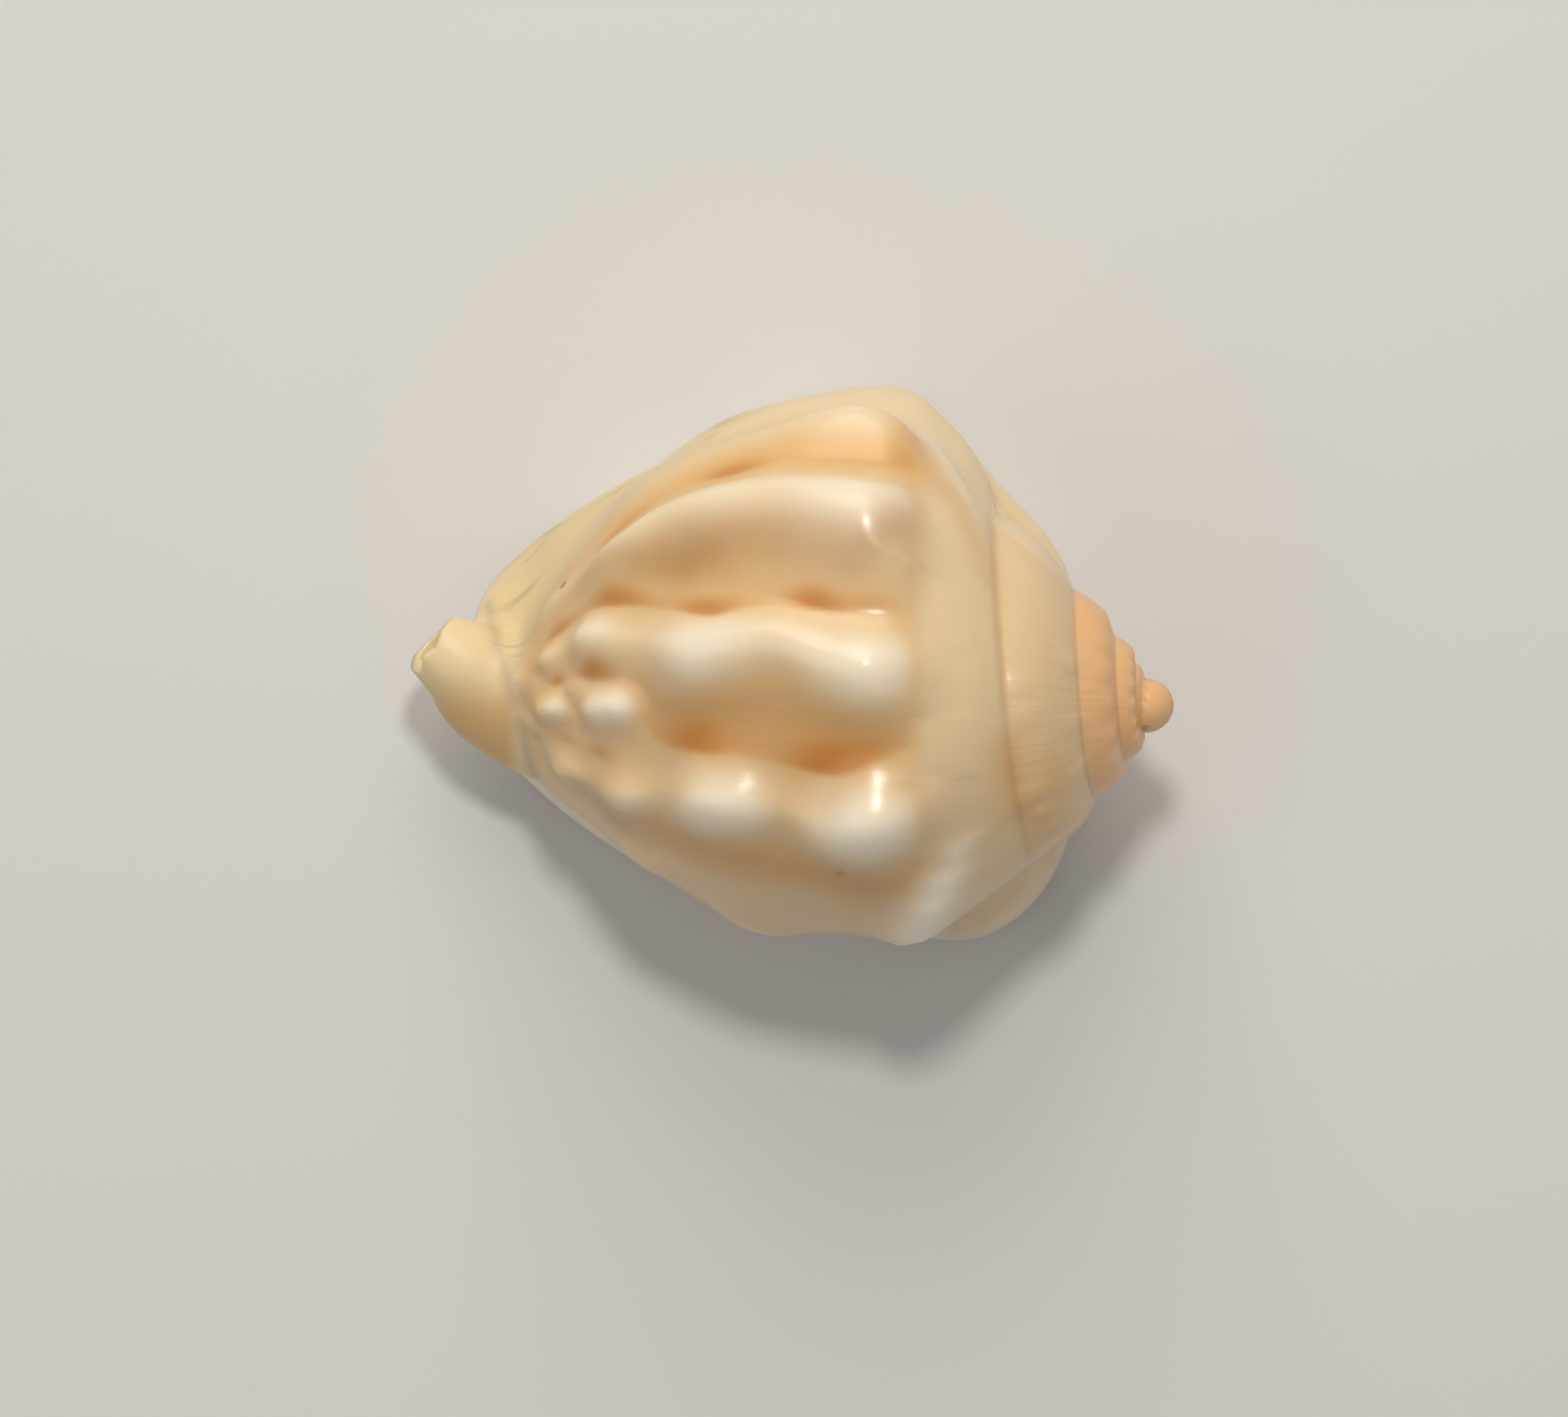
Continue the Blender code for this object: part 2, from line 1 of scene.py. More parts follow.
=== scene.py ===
# Looks of the helmet shell: the fine surface of its one grown piece, its glaze, and the studio.
# Lengths in the dictionaries are millimetres from the tip of the coil's own cone, with the axis
# along -x, the outer lip towards +y and up along z; placed() turns them into the frame's metres.
import math

import bpy
import numpy as np
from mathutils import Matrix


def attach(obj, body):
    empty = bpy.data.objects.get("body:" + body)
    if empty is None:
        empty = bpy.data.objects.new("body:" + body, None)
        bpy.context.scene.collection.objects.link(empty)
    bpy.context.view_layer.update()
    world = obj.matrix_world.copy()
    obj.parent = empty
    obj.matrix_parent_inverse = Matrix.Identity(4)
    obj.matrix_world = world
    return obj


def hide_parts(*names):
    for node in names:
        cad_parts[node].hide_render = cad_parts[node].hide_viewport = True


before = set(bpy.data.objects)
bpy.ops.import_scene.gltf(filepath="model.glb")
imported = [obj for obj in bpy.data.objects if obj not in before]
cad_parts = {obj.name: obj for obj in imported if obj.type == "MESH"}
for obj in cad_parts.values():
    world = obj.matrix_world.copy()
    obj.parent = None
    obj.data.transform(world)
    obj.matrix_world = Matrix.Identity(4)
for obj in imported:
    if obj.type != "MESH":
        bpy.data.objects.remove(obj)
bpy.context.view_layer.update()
print("frame loaded")

mm = 0.001

layout = dict(
    tilt=5.0,  # degrees that the axis rises towards the spire
    tipHeight=15.3,  # cone's tip above the resting plane
    middleX=-24.35,
    middleY=2.8,
)


def ease(low, high, value):
    # from 0 at low to 1 at high, level at both ends: 3t^2 - 2t^3
    share = np.clip((value - low) / (high - low), 0.0, 1.0)
    return share * share * (3.0 - 2.0 * share)


def between(rise, fall, value):
    # up from 0 to 1 over the pair rise and down to 0 again over the pair fall
    return ease(*rise, value) * (1 - ease(*fall, value))


def through(points, t, closed=False):
    # smooth curve through the points, a Catmull-Rom cubic between each two; t counts the points
    points = np.asarray(points, float)
    count = len(points)
    first = np.floor(t).astype(int)
    if closed:
        around = [points[(first + step) % count] for step in (-1, 0, 1, 2)]
    else:
        first = np.clip(first, 0, count - 2)
        around = [points[np.clip(first + step, 0, count - 1)] for step in (-1, 0, 1, 2)]
    a, b, c, d = around
    f = (t - first)[..., None]
    return 0.5 * (2 * b + (c - a) * f + (2 * a - 5 * b + 4 * c - d) * f**2 + (3 * (b - c) + d - a) * f**3)


def placed(points):
    # millimetres from the cone's tip to metres in the frame
    return (points - np.array([layout["middleX"], layout["middleY"], 0.0])) * mm


def unplaced(points):
    # and back to millimetres from the tip
    return points / mm + np.array([layout["middleX"], layout["middleY"], 0.0])


def readMesh(items, key, width=1, kind=float):
    # one measure of all of a mesh's points, edges or faces, in rows of width numbers
    values = np.empty(len(items) * width, kind)
    items.foreach_get(key, values)
    return values.reshape(-1, width) if width > 1 else values


def normalsOf(grid):
    # cross product of the grid's two directions, which points outwards on the coil
    across = np.cross(np.gradient(grid, axis=0), np.gradient(grid, axis=1))
    return across / np.maximum(np.linalg.norm(across, axis=-1, keepdims=True), 1e-9)


def makePiece(name, points, triangles):
    # a mesh object from arrays of points (mm) and corner numbers, leaving out unused points; a closed
    # piece has the volume sum(a . (b x c)) / 6, and where that is negative its faces are turned round
    used, corners = np.unique(triangles, return_inverse=True)
    corners = corners.reshape(-1, 3)
    a, b, c = np.moveaxis(points[used][corners], 1, 0)
    if np.sum(a * np.cross(b, c)) < 0:
        corners = corners[:, ::-1]
    mesh = bpy.data.meshes.new(name)
    mesh.from_pydata(placed(points[used]).tolist(), [], corners.tolist())
    mesh.shade_smooth()
    piece = bpy.data.objects.new(name, mesh)
    bpy.context.scene.collection.objects.link(piece)
    return piece


def twoTriangles(a, b, c, d):
    # quads as two triangles each, leaving out those that a pole has closed up
    both = np.concatenate([np.stack([a, b, c], -1).reshape(-1, 3), np.stack([a, c, d], -1).reshape(-1, 3)])
    whole = (both[:, 0] != both[:, 1]) & (both[:, 1] != both[:, 2]) & (both[:, 2] != both[:, 0])
    return both[whole]


def ringPiece(name, rings, startPole, endPole):
    # closed rings of points one after another, with a fan to a pole at each end
    rings = np.asarray(rings)
    count, columns = rings.shape[:2]
    points = np.concatenate([rings.reshape(-1, 3), [startPole], [endPole]])
    index = np.arange(count * columns).reshape(count, columns)
    after = np.roll(index, -1, axis=1)
    sides = twoTriangles(index[:-1], after[:-1], after[1:], index[1:])
    first = np.stack([np.full(columns, count * columns), after[0], index[0]], -1)
    last = np.stack([np.full(columns, count * columns + 1), index[-1], after[-1]], -1)
    return makePiece(name, points, np.concatenate([sides, first, last]))


# Coil: the whorls

coilForm = dict(
    sutureRadius=11.6,  # at the back of the last whorl
    growth=1.66,  # of that radius in one turn
    spireTop=0.55,
    spireDrop=0.36,  # distance below the tip is spireDrop * radius ** spireCurve - spireTop
    spireCurve=1.34,
    lipTurn=140 / 360,  # turns from the middle of the back to the outer lip
    turns=5,
    whorlBulge=0.065,  # how far a spire whorl swells, as a share of its radius
    stepHeight=0.09,  # and as much again on every whorl
    whorlLean=1.15,  # power that moves its fullest part towards the lower suture
    stepEase=0.2,  # turns past the bulb in which the swelling sets in
    spireBeads=15,  # small beads on each whorl of the spire, in one turn
    spireBeadHeight=0.14,
    beadPlace=0.4,  # where on the wall they are, from its upper suture 0 to its lower one 1
    beadReach=0.2,
    beadsFade=(-1.5, -0.9),  # turns between which they fade out
    bulbRadius=1.85,  # smooth first whorl
    bulbCentre=-0.2,
    bulbEnd=-3.15,
    bulbArc=97,  # degrees of it, from its tip to the notch behind it
    bulbEase=0.25,  # turns in which it passes to the spiral
    # outlines of the last whorl from suture to front end: (along the axis, radius)
    atLip=((-11.2, 13.6), (-13, 16.5), (-15.6, 19.1), (-18.6, 20.1), (-24.9, 19.5), (-33.4, 16.4),
           (-38.4, 12.4), (-41.6, 8.4), (-43.6, 4.4), (-44.3, 0)),
    atShield=((-7.8, 10.3), (-10, 13), (-13, 15), (-16.5, 15.7), (-22.5, 15.3), (-28.5, 14.1),
              (-34.2, 11.1), (-39, 7.4), (-42.6, 4.2), (-43.9, 0)),
    shoulderKnot=3,
    shieldTurn=-0.25,  # turn at which the outline is the shield's, and turns from there to the lip's
    shapeTurns=0.5,
    earliestShape=-0.45,  # the outlines are carried on this far before the shield's, and no farther
    seamEase=0.9,  # part of the wall over which it is drawn to the suture
    lastBegins=(-1, -0.67),  # turns before the lip between which the last whorl's form sets in
    belowEase=(1, 1.6),
    flattening=0.13,  # the last whorl is lower than it is wide by this share
    flatten=(6, 16),  # distances in front of the tip over which that sets in
    frontDrop=5.2,  # how far the coil's front end bends down
    bend=(24, 52),
    squareLip=0.3,  # how much squarer than a circle its section is on the lip's side
    squareAngles=((0, 45), (120, 140)),
    squareAlong=((8, 16), (36, 44)),
    mounds=(-0.85, -0.7),  # turns before the lip between which ribs and knobs set in
    beadsBehind=-9,
    moundFall=0.8,
    columns=400,
    rowsPerWhorl=13,
    rowsToFront=116,
)

# Ribs of the last whorl, each a crest that runs forwards and swells to knobs:
# (along, degrees, half width towards the lip, half width away from it, height)
ribs = (
    ((-14.8, 65, 2, 1.8, 0), (-17, 65, 2.3, 2.2, 1.4), (-19.2, 66, 2.3, 2.2, 2), (-22, 66, 2, 2.1, 1.7),
     (-25.5, 67, 1.8, 2.2, 1.1), (-30, 68, 1.7, 2.2, 0.8), (-34.5, 67, 1.4, 1.9, 0.5),
     (-38.5, 66, 1.2, 1.6, 0)),
    ((-14, 39, 2, 3.4, 0), (-15.8, 39, 2.3, 3.9, 1.9), (-18, 40, 2.4, 4.2, 2.4), (-21.4, 42, 2.4, 4, 2.1),
     (-25, 45, 2.2, 3.6, 1.6), (-28.6, 46, 2, 2.6, 1.7), (-32.2, 47, 1.6, 2.1, 1.3),
     (-35.8, 44, 1.4, 1.8, 1.3), (-38.4, 45, 1.1, 1.3, 0.5), (-40.8, 48, 0.9, 1.1, 0.8),
     (-42.4, 47, 0.7, 0.8, 0)),
    ((-14, 8, 1.8, 2.2, 0), (-15.8, 8, 2.2, 2.7, 1.9), (-18, 8, 2.3, 3, 2.4), (-20.8, 10, 2.1, 2.6, 1.8),
     (-24, 14, 1.9, 2.2, 1.4), (-27, 14, 2, 2.5, 1.6), (-30, 13, 2, 2.6, 1.9), (-33.4, 16, 1.4, 2, 0.9),
     (-37.2, 22, 1.4, 1.7, 1.4), (-39.2, 22, 0.9, 1.1, 0.4), (-40.6, 22, 0.8, 0.9, 0.9),
     (-42, 22, 0.6, 0.7, 0)),
    ((-13.6, -25, 1.8, 2.2, 0), (-15.6, -25, 2.3, 2.7, 1.9), (-18.4, -26, 2.6, 2.8, 2.5),
     (-21.4, -28, 2, 2.3, 1.3), (-23.8, -25, 1.6, 1.9, 0.7), (-26.6, -23, 2, 2.4, 1.8),
     (-29.4, -23, 2, 2.4, 1.9), (-32, -26, 1.4, 1.8, 0.6), (-34.9, -28, 1.4, 1.6, 1.4),
     (-37.4, -30, 0.9, 1.1, 0.3), (-39.4, -31, 0.9, 0.9, 0.9), (-41.2, -31, 0.7, 0.7, 0)),
)

# Lone knobs and short ridges: (along, degrees) at the two ends, half width, height
knobs = (
    ((-35.2, 0), (-36.4, -1), 1.3, 1.5), ((-40, -1), (-40.5, -2), 0.9, 1.1),
    ((-41.6, 12), (-41.8, 12), 0.7, 0.4), ((-41.8, -12), (-42, -12), 0.7, 0.4),
    ((-42.9, 17), (-43, 17), 0.7, 0.35), ((-42.9, 46), (-43.1, 46), 0.7, 0.35),
    ((-38.2, 7), (-38.6, 6), 0.7, 0.5), ((-12.2, -40), (-13.1, -49), 0.9, 0.9),
    ((-13.1, -49), (-14.2, -57), 1.2, 1.4), ((-14.2, -57), (-15.5, -70), 1.5, 1.7),
    ((-15.5, -70), (-16.2, -80), 1.5, 0.8), ((-25.8, -84), (-26.6, -84), 2.4, 0.8),
    ((-33.6, -60), (-34.4, -60), 1.7, 0.6), ((-14.9, 78), (-13.9, 73), 0.8, 0.45),
    ((-13.9, 73), (-12.2, 66), 0.7, 0.4),
)

# Small beads on the whorl before the last: the same, with places on the spire
beads = (
    ((-6.9, -44), (-6.7, -47), 0.5, 0.3), ((-6.4, -55), (-6.3, -57), 0.45, 0.35),
    ((-5.7, -66), (-5.6, -68), 0.4, 0.3), ((-7.9, 8), (-8, 6), 0.8, 0.14),
    ((-7.7, -2), (-7.8, -4), 0.8, 0.14), ((-4.8, 22), (-4.8, 20), 0.5, 0.12),
    ((-7.2, -34), (-7.9, -36), 0.9, 0.2), ((-4.6, -8), (-4.6, -10), 0.5, 0.1),
    ((-4.4, -35), (-4.4, -38), 0.5, 0.15),
)

# Tints of the last whorl, as lines like the ribs with a strength in place of the height: orange where the
# valleys are deepest, partly the shell's own and partly painted shade, and painted shade over their sides
orangeLines = (
    ((-14.2, 58, 1.4, 1.4, 0), (-15.6, 57, 1.6, 1.4, 0.6), (-17.2, 54, 1.5, 0.9, 0.5),
     (-20.9, 55, 1.2, 0.7, 0.35), (-24.5, 57, 1.2, 0.6, 0.4), (-27.7, 57, 1.1, 0.6, 0.95),
     (-31.1, 58, 0.9, 0.6, 0.35), (-36.1, 55, 0.8, 0.5, 0.7), (-38.2, 54, 0.6, 0.4, 0.2),
     (-40, 53, 0.5, 0.4, 0)),
    ((-14.4, 20, 1.2, 1.2, 0), (-15.8, 20, 1.4, 1.1, 0.4), (-17.3, 20, 1.4, 0.7, 0.65),
     (-19.3, 20, 1.3, 0.5, 0.7), (-21.6, 21, 1.5, 0.5, 1.05), (-24, 22, 1.4, 0.5, 0.6),
     (-26.3, 22, 1.4, 0.5, 0.6), (-28.7, 21, 1.5, 0.5, 1.1), (-31.8, 25, 1.2, 0.5, 0.6),
     (-35.8, 31, 1.2, 0.5, 0.95), (-38.2, 33, 0.8, 0.5, 0.6), (-40.3, 33, 0.7, 0.5, 0.8),
     (-41.8, 32, 0.5, 0.4, 0)),
    ((-14, -6, 1.2, 1, 0), (-15.4, -8, 1.8, 0.9, 0.5), (-18.2, -12, 2.2, 0.7, 0.9),
     (-20.5, -14, 2.4, 0.6, 1.2), (-24.1, -12, 2.4, 0.7, 0.65), (-26.9, -10, 2.2, 0.7, 0.75),
     (-29.4, -10, 2.2, 0.6, 1.1), (-32.5, -8, 1.7, 0.7, 0.6), (-34.6, 5, 1.2, 0.9, 0.4),
     (-37.2, 11, 1, 0.8, 0.95), (-39, 11, 0.6, 0.5, 0.4), (-40, 11, 0.6, 0.5, 0.8),
     (-41.2, 10, 0.5, 0.4, 0)),
    ((-34, -15, 1, 0.9, 0), (-35.4, -17, 0.9, 0.8, 0.3), (-36.9, -17, 0.8, 0.7, 0.7),
     (-38.2, -16, 0.6, 0.6, 0.3), (-39.4, -15, 0.6, 0.6, 0.6), (-40.8, -15, 0.5, 0.5, 0)),
)
# painted shade: the rib slopes and hollows that face away from the lamps
shadeLines = (
    ((-15, -1, 1.4, 1.8, 0), (-17.4, -4, 1.4, 2.2, 0.5), (-20.5, -6, 1.8, 2.4, 0.9), (-24, -3, 2.3, 2.4, 1),
     (-28, -3, 2.2, 2.2, 1), (-31.5, -3, 1.8, 1.8, 0.9), (-34, 2, 1.2, 1.4, 0.4), (-36, 6, 0.9, 1, 0)),
    ((-13.8, 40, 1.6, 1.8, 0), (-15.4, 36, 2, 2.2, 0.7), (-18.8, 30, 2.2, 2, 0.75),
     (-22, 32, 2.2, 2.2, 0.7), (-24.2, 34, 2.2, 2.2, 0.75), (-27, 36, 1.8, 2.2, 0.75),
     (-30.8, 34, 1.9, 1.8, 0.95), (-33.4, 37, 1.3, 1.4, 0.7), (-35.6, 40, 1, 1, 0.5),
     (-38.6, 42, 0.8, 0.8, 0.3), (-40.6, 40, 0.6, 0.6, 0)),
    ((-14, -40, 1.6, 1.6, 0), (-16.4, -46, 1.8, 2.4, 0.6), (-19, -46, 1.8, 2.6, 0.7),
     (-23, -42, 2, 2.4, 0.6), (-27, -41, 1.6, 2.4, 0.6), (-32, -40, 1.6, 2.2, 0.6),
     (-36.5, -42, 1.2, 1.8, 0.4), (-41, -44, 0.8, 0.8, 0)),
)

# Tints by strokes like the knobs: amber on the ramp and round the lobe, and the palest knobs
amberStrokes = (
    ((-16.6, 65), (-24, 65), 2.2, 0.3), ((-16, 56), (-27, 58), 1.5, 0.65),
    ((-27, 60), (-35, 57), 1.3, 0.6), ((-8.9, -14), (-8.3, -40), 1, 0.8),
    ((-6.2, -30), (-6.4, -52), 1.6, 0.5), ((-15.4, 64), (-14.6, 58), 1.8, 0.7),
    ((-12.6, 58), (-11.2, 49), 1.1, 0.5), ((-10.9, 46), (-10.6, 40), 0.8, 0.4),
    ((-15.5, -96), (-13, -59), 0.6, 0.5), ((-13, -59), (-12.1, -50), 0.5, 0.35),
    ((-9.9, -64), (-9.3, -58), 0.7, 0.6), ((-8.2, -60), (-7.6, -64), 0.5, 0.7),
)
paleStrokes = (
    ((-12.2, -40), (-13.1, -49), 1, 0.7), ((-13.1, -49), (-14.2, -60), 1.5, 1),
    ((-14.2, -60), (-16.2, -82), 2, 1), ((-14.9, 78), (-12.2, 66), 0.7, 0.6),
    ((-35.4, 0), (-36.2, 0), 1, 0.8), ((-40.1, -1), (-40.3, -1), 0.6, 0.6),
    ((-37.2, 23), (-37.8, 23), 0.9, 0.5), ((-27, -22), (-28.4, -23), 1.8, 0.6),
    ((-18, -29), (-19, -24), 2, 0.5), ((-30, 12), (-28, 14), 1.6, 0.5),
)


def sutureAt(turn):
    # distance along the axis and radius of the suture, a spiral that starts on the bulb
    form = coilForm
    end = form["bulbEnd"]
    radius = form["sutureRadius"] * form["growth"] ** turn
    spiral = np.stack([form["spireTop"] - form["spireDrop"] * radius ** form["spireCurve"], radius], -1)
    start = form["lipTurn"] - form["turns"] + 1
    arc = np.radians(form["bulbArc"]) * np.clip((turn - start) / (end - start), 0.0, 1.0)
    bulb = form["bulbRadius"] * np.stack([np.cos(arc), np.sin(arc)], -1) + [form["bulbCentre"], 0.0]
    return bulb + (spiral - bulb) * ease(end, end + form["bulbEase"], turn)[..., None]


def spireWall(turn, down):
    # wall of a spire whorl, from its upper suture (down 0) to its lower one (down 1), swelling by
    # sin(pi * down ^ lean) and set with small beads, cos^2 round it and a bell curve across it
    form = coilForm
    end = form["bulbEnd"]
    step = 0.01
    here = sutureAt(turn + down)
    along = sutureAt(turn + down + step) - sutureAt(turn + down - step)
    outward = np.stack([along[..., 1], -along[..., 0]], -1)
    outward /= np.maximum(np.linalg.norm(outward, axis=-1, keepdims=True), 1e-9)
    section = np.sin(np.pi * np.clip(down, 0.0, 1.0) ** form["whorlLean"])
    swell = (form["whorlBulge"] * here[..., 1] + form["stepHeight"]) * section
    across = np.exp(-((down - form["beadPlace"]) / form["beadReach"]) ** 2)
    bead = np.cos(np.pi * form["spireBeads"] * turn) ** 2 * across
    swell += form["spireBeadHeight"] * bead * (1 - ease(*form["beadsFade"], turn))
    return here + outward * (swell * ease(end, end + form["stepEase"], turn + down))[..., None]


def lastWall(turn, down):
    # wall of the last whorl: a mix of the outlines at the shield and at the lip, down being 0 at the
    # suture, 1 past the shoulder and 2 at the front
    form = coilForm
    knots = len(form["atLip"]) - 1
    shoulder = form["shoulderKnot"]
    t = np.where(down < 1, down * shoulder, shoulder + (down - 1) * (knots - shoulder))
    toLip = np.maximum((turn - form["shieldTurn"]) / form["shapeTurns"], form["earliestShape"])[..., None]
    early, late = through(form["atShield"], t), through(form["atLip"], t)
    wall = early + (late - early) * toLip
    toSuture = sutureAt(turn[..., :1]) - wall[..., :1, :]
    return wall + toSuture * (1 - ease(0, form["seamEase"], down))[..., None]


def coilOutline(turn, down):
    # spire form up to the aperture, passing to the last whorl's form under the shield
    first, full = coilForm["lastBegins"]
    begun = ease(coilForm["lipTurn"] + first, coilForm["lipTurn"] + full, turn)[..., None]
    last = lastWall(turn, down)
    atSeam = lastWall(turn[..., :1], np.ones_like(turn[..., :1]))
    toSeam = sutureAt(turn[..., :1] + 1) - atSeam
    below = last + toSeam * (1 - ease(*coilForm["belowEase"], down))[..., None]
    spire = np.where((down <= 1)[..., None], spireWall(turn, np.minimum(down, 1.0)), below)
    return spire + (last - spire) * begun


def squareness(x, angle):
    # radius of a superellipse of unit half axes, with more than a circle's power on the lip's side
    lipSide = between(*coilForm["squareAngles"], angle) * between(*coilForm["squareAlong"], -x)
    power = 2 + coilForm["squareLip"] * lipSide
    side, up = np.abs(np.sin(np.radians(angle))), np.abs(np.cos(np.radians(angle)))
    return (side**power + up**power) ** (-1 / power)


def flatAt(x):
    # height of the last whorl as a share of its width
    return 1 - coilForm["flattening"] * ease(*coilForm["flatten"], -x)


def dropAt(x):
    # how far the coil has bent down at distance x along the axis
    return coilForm["frontDrop"] * ease(*coilForm["bend"], -x)


def turned(x, radius, angle):
    # outline and angle round the axis to a place, flattened, bent down at the front and tilted
    across = radius * np.sin(np.radians(angle))
    up = flatAt(x) * radius * np.cos(np.radians(angle)) - dropAt(x)
    tilt = math.radians(layout["tilt"])
    return np.stack([x * math.cos(tilt) - up * math.sin(tilt), across,
                     layout["tipHeight"] + x * math.sin(tilt) + up * math.cos(tilt)], -1)


def coilPlace(points):
    # the way back from a place to distance along the axis, radius and angle
    tilt = math.radians(layout["tilt"])
    rise = points[..., 2] - layout["tipHeight"]
    x = points[..., 0] * math.cos(tilt) + rise * math.sin(tilt)
    up = (-points[..., 0] * math.sin(tilt) + rise * math.cos(tilt) + dropAt(x)) / flatAt(x)
    return x, np.hypot(points[..., 1], up), np.degrees(np.arctan2(points[..., 1], up))


def mound(far):
    # fall of a rib's or knob's height: exp(-moundFall * far^2), far being 1 at the half width
    return np.exp(-coilForm["moundFall"] * far**2)


def alongLines(lines, x, angle, radius):
    # each line is a mound whose crest, half widths and height change smoothly along the axis; where
    # lines meet, the higher rules (cube root of the sum of cubes)
    total = np.zeros_like(x)
    for line in lines:
        knots = np.asarray(line)
        t = np.interp(-x, -knots[:, 0], np.arange(len(knots)))
        crest, toLip, away, height = np.moveaxis(through(knots[:, 1:], t), -1, 0)
        across = radius * np.radians((angle - crest + 180) % 360 - 180)
        far = across / np.where(across > 0, toLip, away)
        total += (np.maximum(height, 0) * mound(far)) ** 3
    return np.cbrt(total)


def strokes(marks, x, angle, radius):
    # each mark is a rounded mound along its own short line, and again the higher rules
    shortest = 0.01
    total = np.zeros_like(x)
    for (x1, angle1), (x2, angle2), halfWidth, height in marks:
        across = radius * np.radians((angle - angle1 + 180) % 360 - 180)
        lengthX, lengthA = x2 - x1, radius * np.radians(angle2 - angle1)
        share = (x - x1) * lengthX + across * lengthA
        share = np.clip(share / np.maximum(lengthX**2 + lengthA**2, shortest), 0, 1)
        far = np.hypot(x - x1 - share * lengthX, across - share * lengthA) / halfWidth
        total += (height * mound(far)) ** 3
    return np.cbrt(total)


def moundsAt(x, angle, radius):
    # ribs and knobs together
    return np.cbrt(alongLines(ribs, x, angle, radius) ** 3 + strokes(knobs, x, angle, radius) ** 3)


# Callus: shield and outer lip, one plate that spreads under the coil

callusForm = dict(
    # outline seen from above: (along, across, thickness of its edge, how far the edge is rounded,
    # width and rise of the brim up to the coil, and how domed the brim is, from 0 to 1)
    edge=(
        (-45.2, -2, 4, 1.2, 4.2, 3, 0), (-41.2, -6.3, 3.2, 1, 3.5, 4, 0),
        (-36.6, -9.8, 2.6, 0.9, 3.4, 6, 0), (-32, -12.2, 2.6, 0.9, 3.4, 7, 0),
        (-25, -14.2, 2.8, 0.9, 3.4, 7, 0), (-18.5, -15.4, 4, 1.4, 3.6, 7, 0.2),
        (-13.2, -16.2, 8.5, 2.8, 3.6, 8, 1), (-9.8, -15.6, 10.5, 3.4, 3.8, 9, 1),
        (-6.8, -13.1, 10.5, 3.4, 3.8, 9, 1), (-5, -8, 8.5, 2.8, 3.8, 7, 0.8),
        (-4.6, -1, 3.6, 1.2, 4.6, 7, 0), (-4.5, 6, 3.2, 1, 4.6, 7, 0),
        (-6.2, 11, 3.2, 1, 4.4, 7, 0), (-10, 15.3, 3.6, 1.1, 4.2, 7, 0),
        (-13.4, 19.2, 4.6, 1.4, 3.8, 6, 0.2), (-15.8, 21.5, 5.4, 1.6, 3.8, 5, 0.4),
        (-19, 22, 6, 1.8, 3.8, 5, 0.4), (-24.5, 21, 6, 1.8, 3.8, 5, 0.4),
        (-29.1, 19.6, 5.6, 1.7, 3.8, 5, 0.4), (-33.4, 16.8, 5.2, 1.6, 3.8, 5, 0.4),
        (-37.6, 14.4, 5, 1.6, 3.8, 5, 0.4), (-41.9, 11.6, 5, 1.6, 4, 4.4, 0.4),
        (-44.9, 9, 4.8, 1.6, 4.2, 4, 0.3), (-46.1, 6.4, 4.6, 1.4, 4.6, 3, 0),
        (-46.4, 2.2, 4.4, 1.3, 4.6, 3, 0),
    ),
    lipFirst=13,
    lipLast=25,
    lipSetback=0.25,  # the coil stays this far inside the callus
    lipSwells=(76, 96),  # degrees round the axis between which the lip swells out
    flareAlong=((8, 13), (41, 45)),  # distances in front of the tip where it flares
    uprightAngles=(90, 130),
    leastUpright=0.5,
    uprightPower=0.7,
    centre=(-24.0, 3.0),
    hollowRise=1.3,  # how far the middle of the shield stands off the resting plane
    hollowMiddle=(-24, -3.5),
    hollowReach=(15, 8.5),
    frontLift=4.2,
    lift=(36, 48),  # distances in front of the tip over which its front lifts
    topHeight=14,  # where it closes inside the coil
    brimHollow=1.8,  # power of a hollow brim's rise
    brimSwell=0.9,  # height of a domed brim, as a share of the rise
    columns=260,
    # first share, last share and number of the rings under the plate and over the brim
    underRings=(0.03, 0.985, 46),
    edgeRings=18,
    brimRings=(0.04, 1, 14),
)

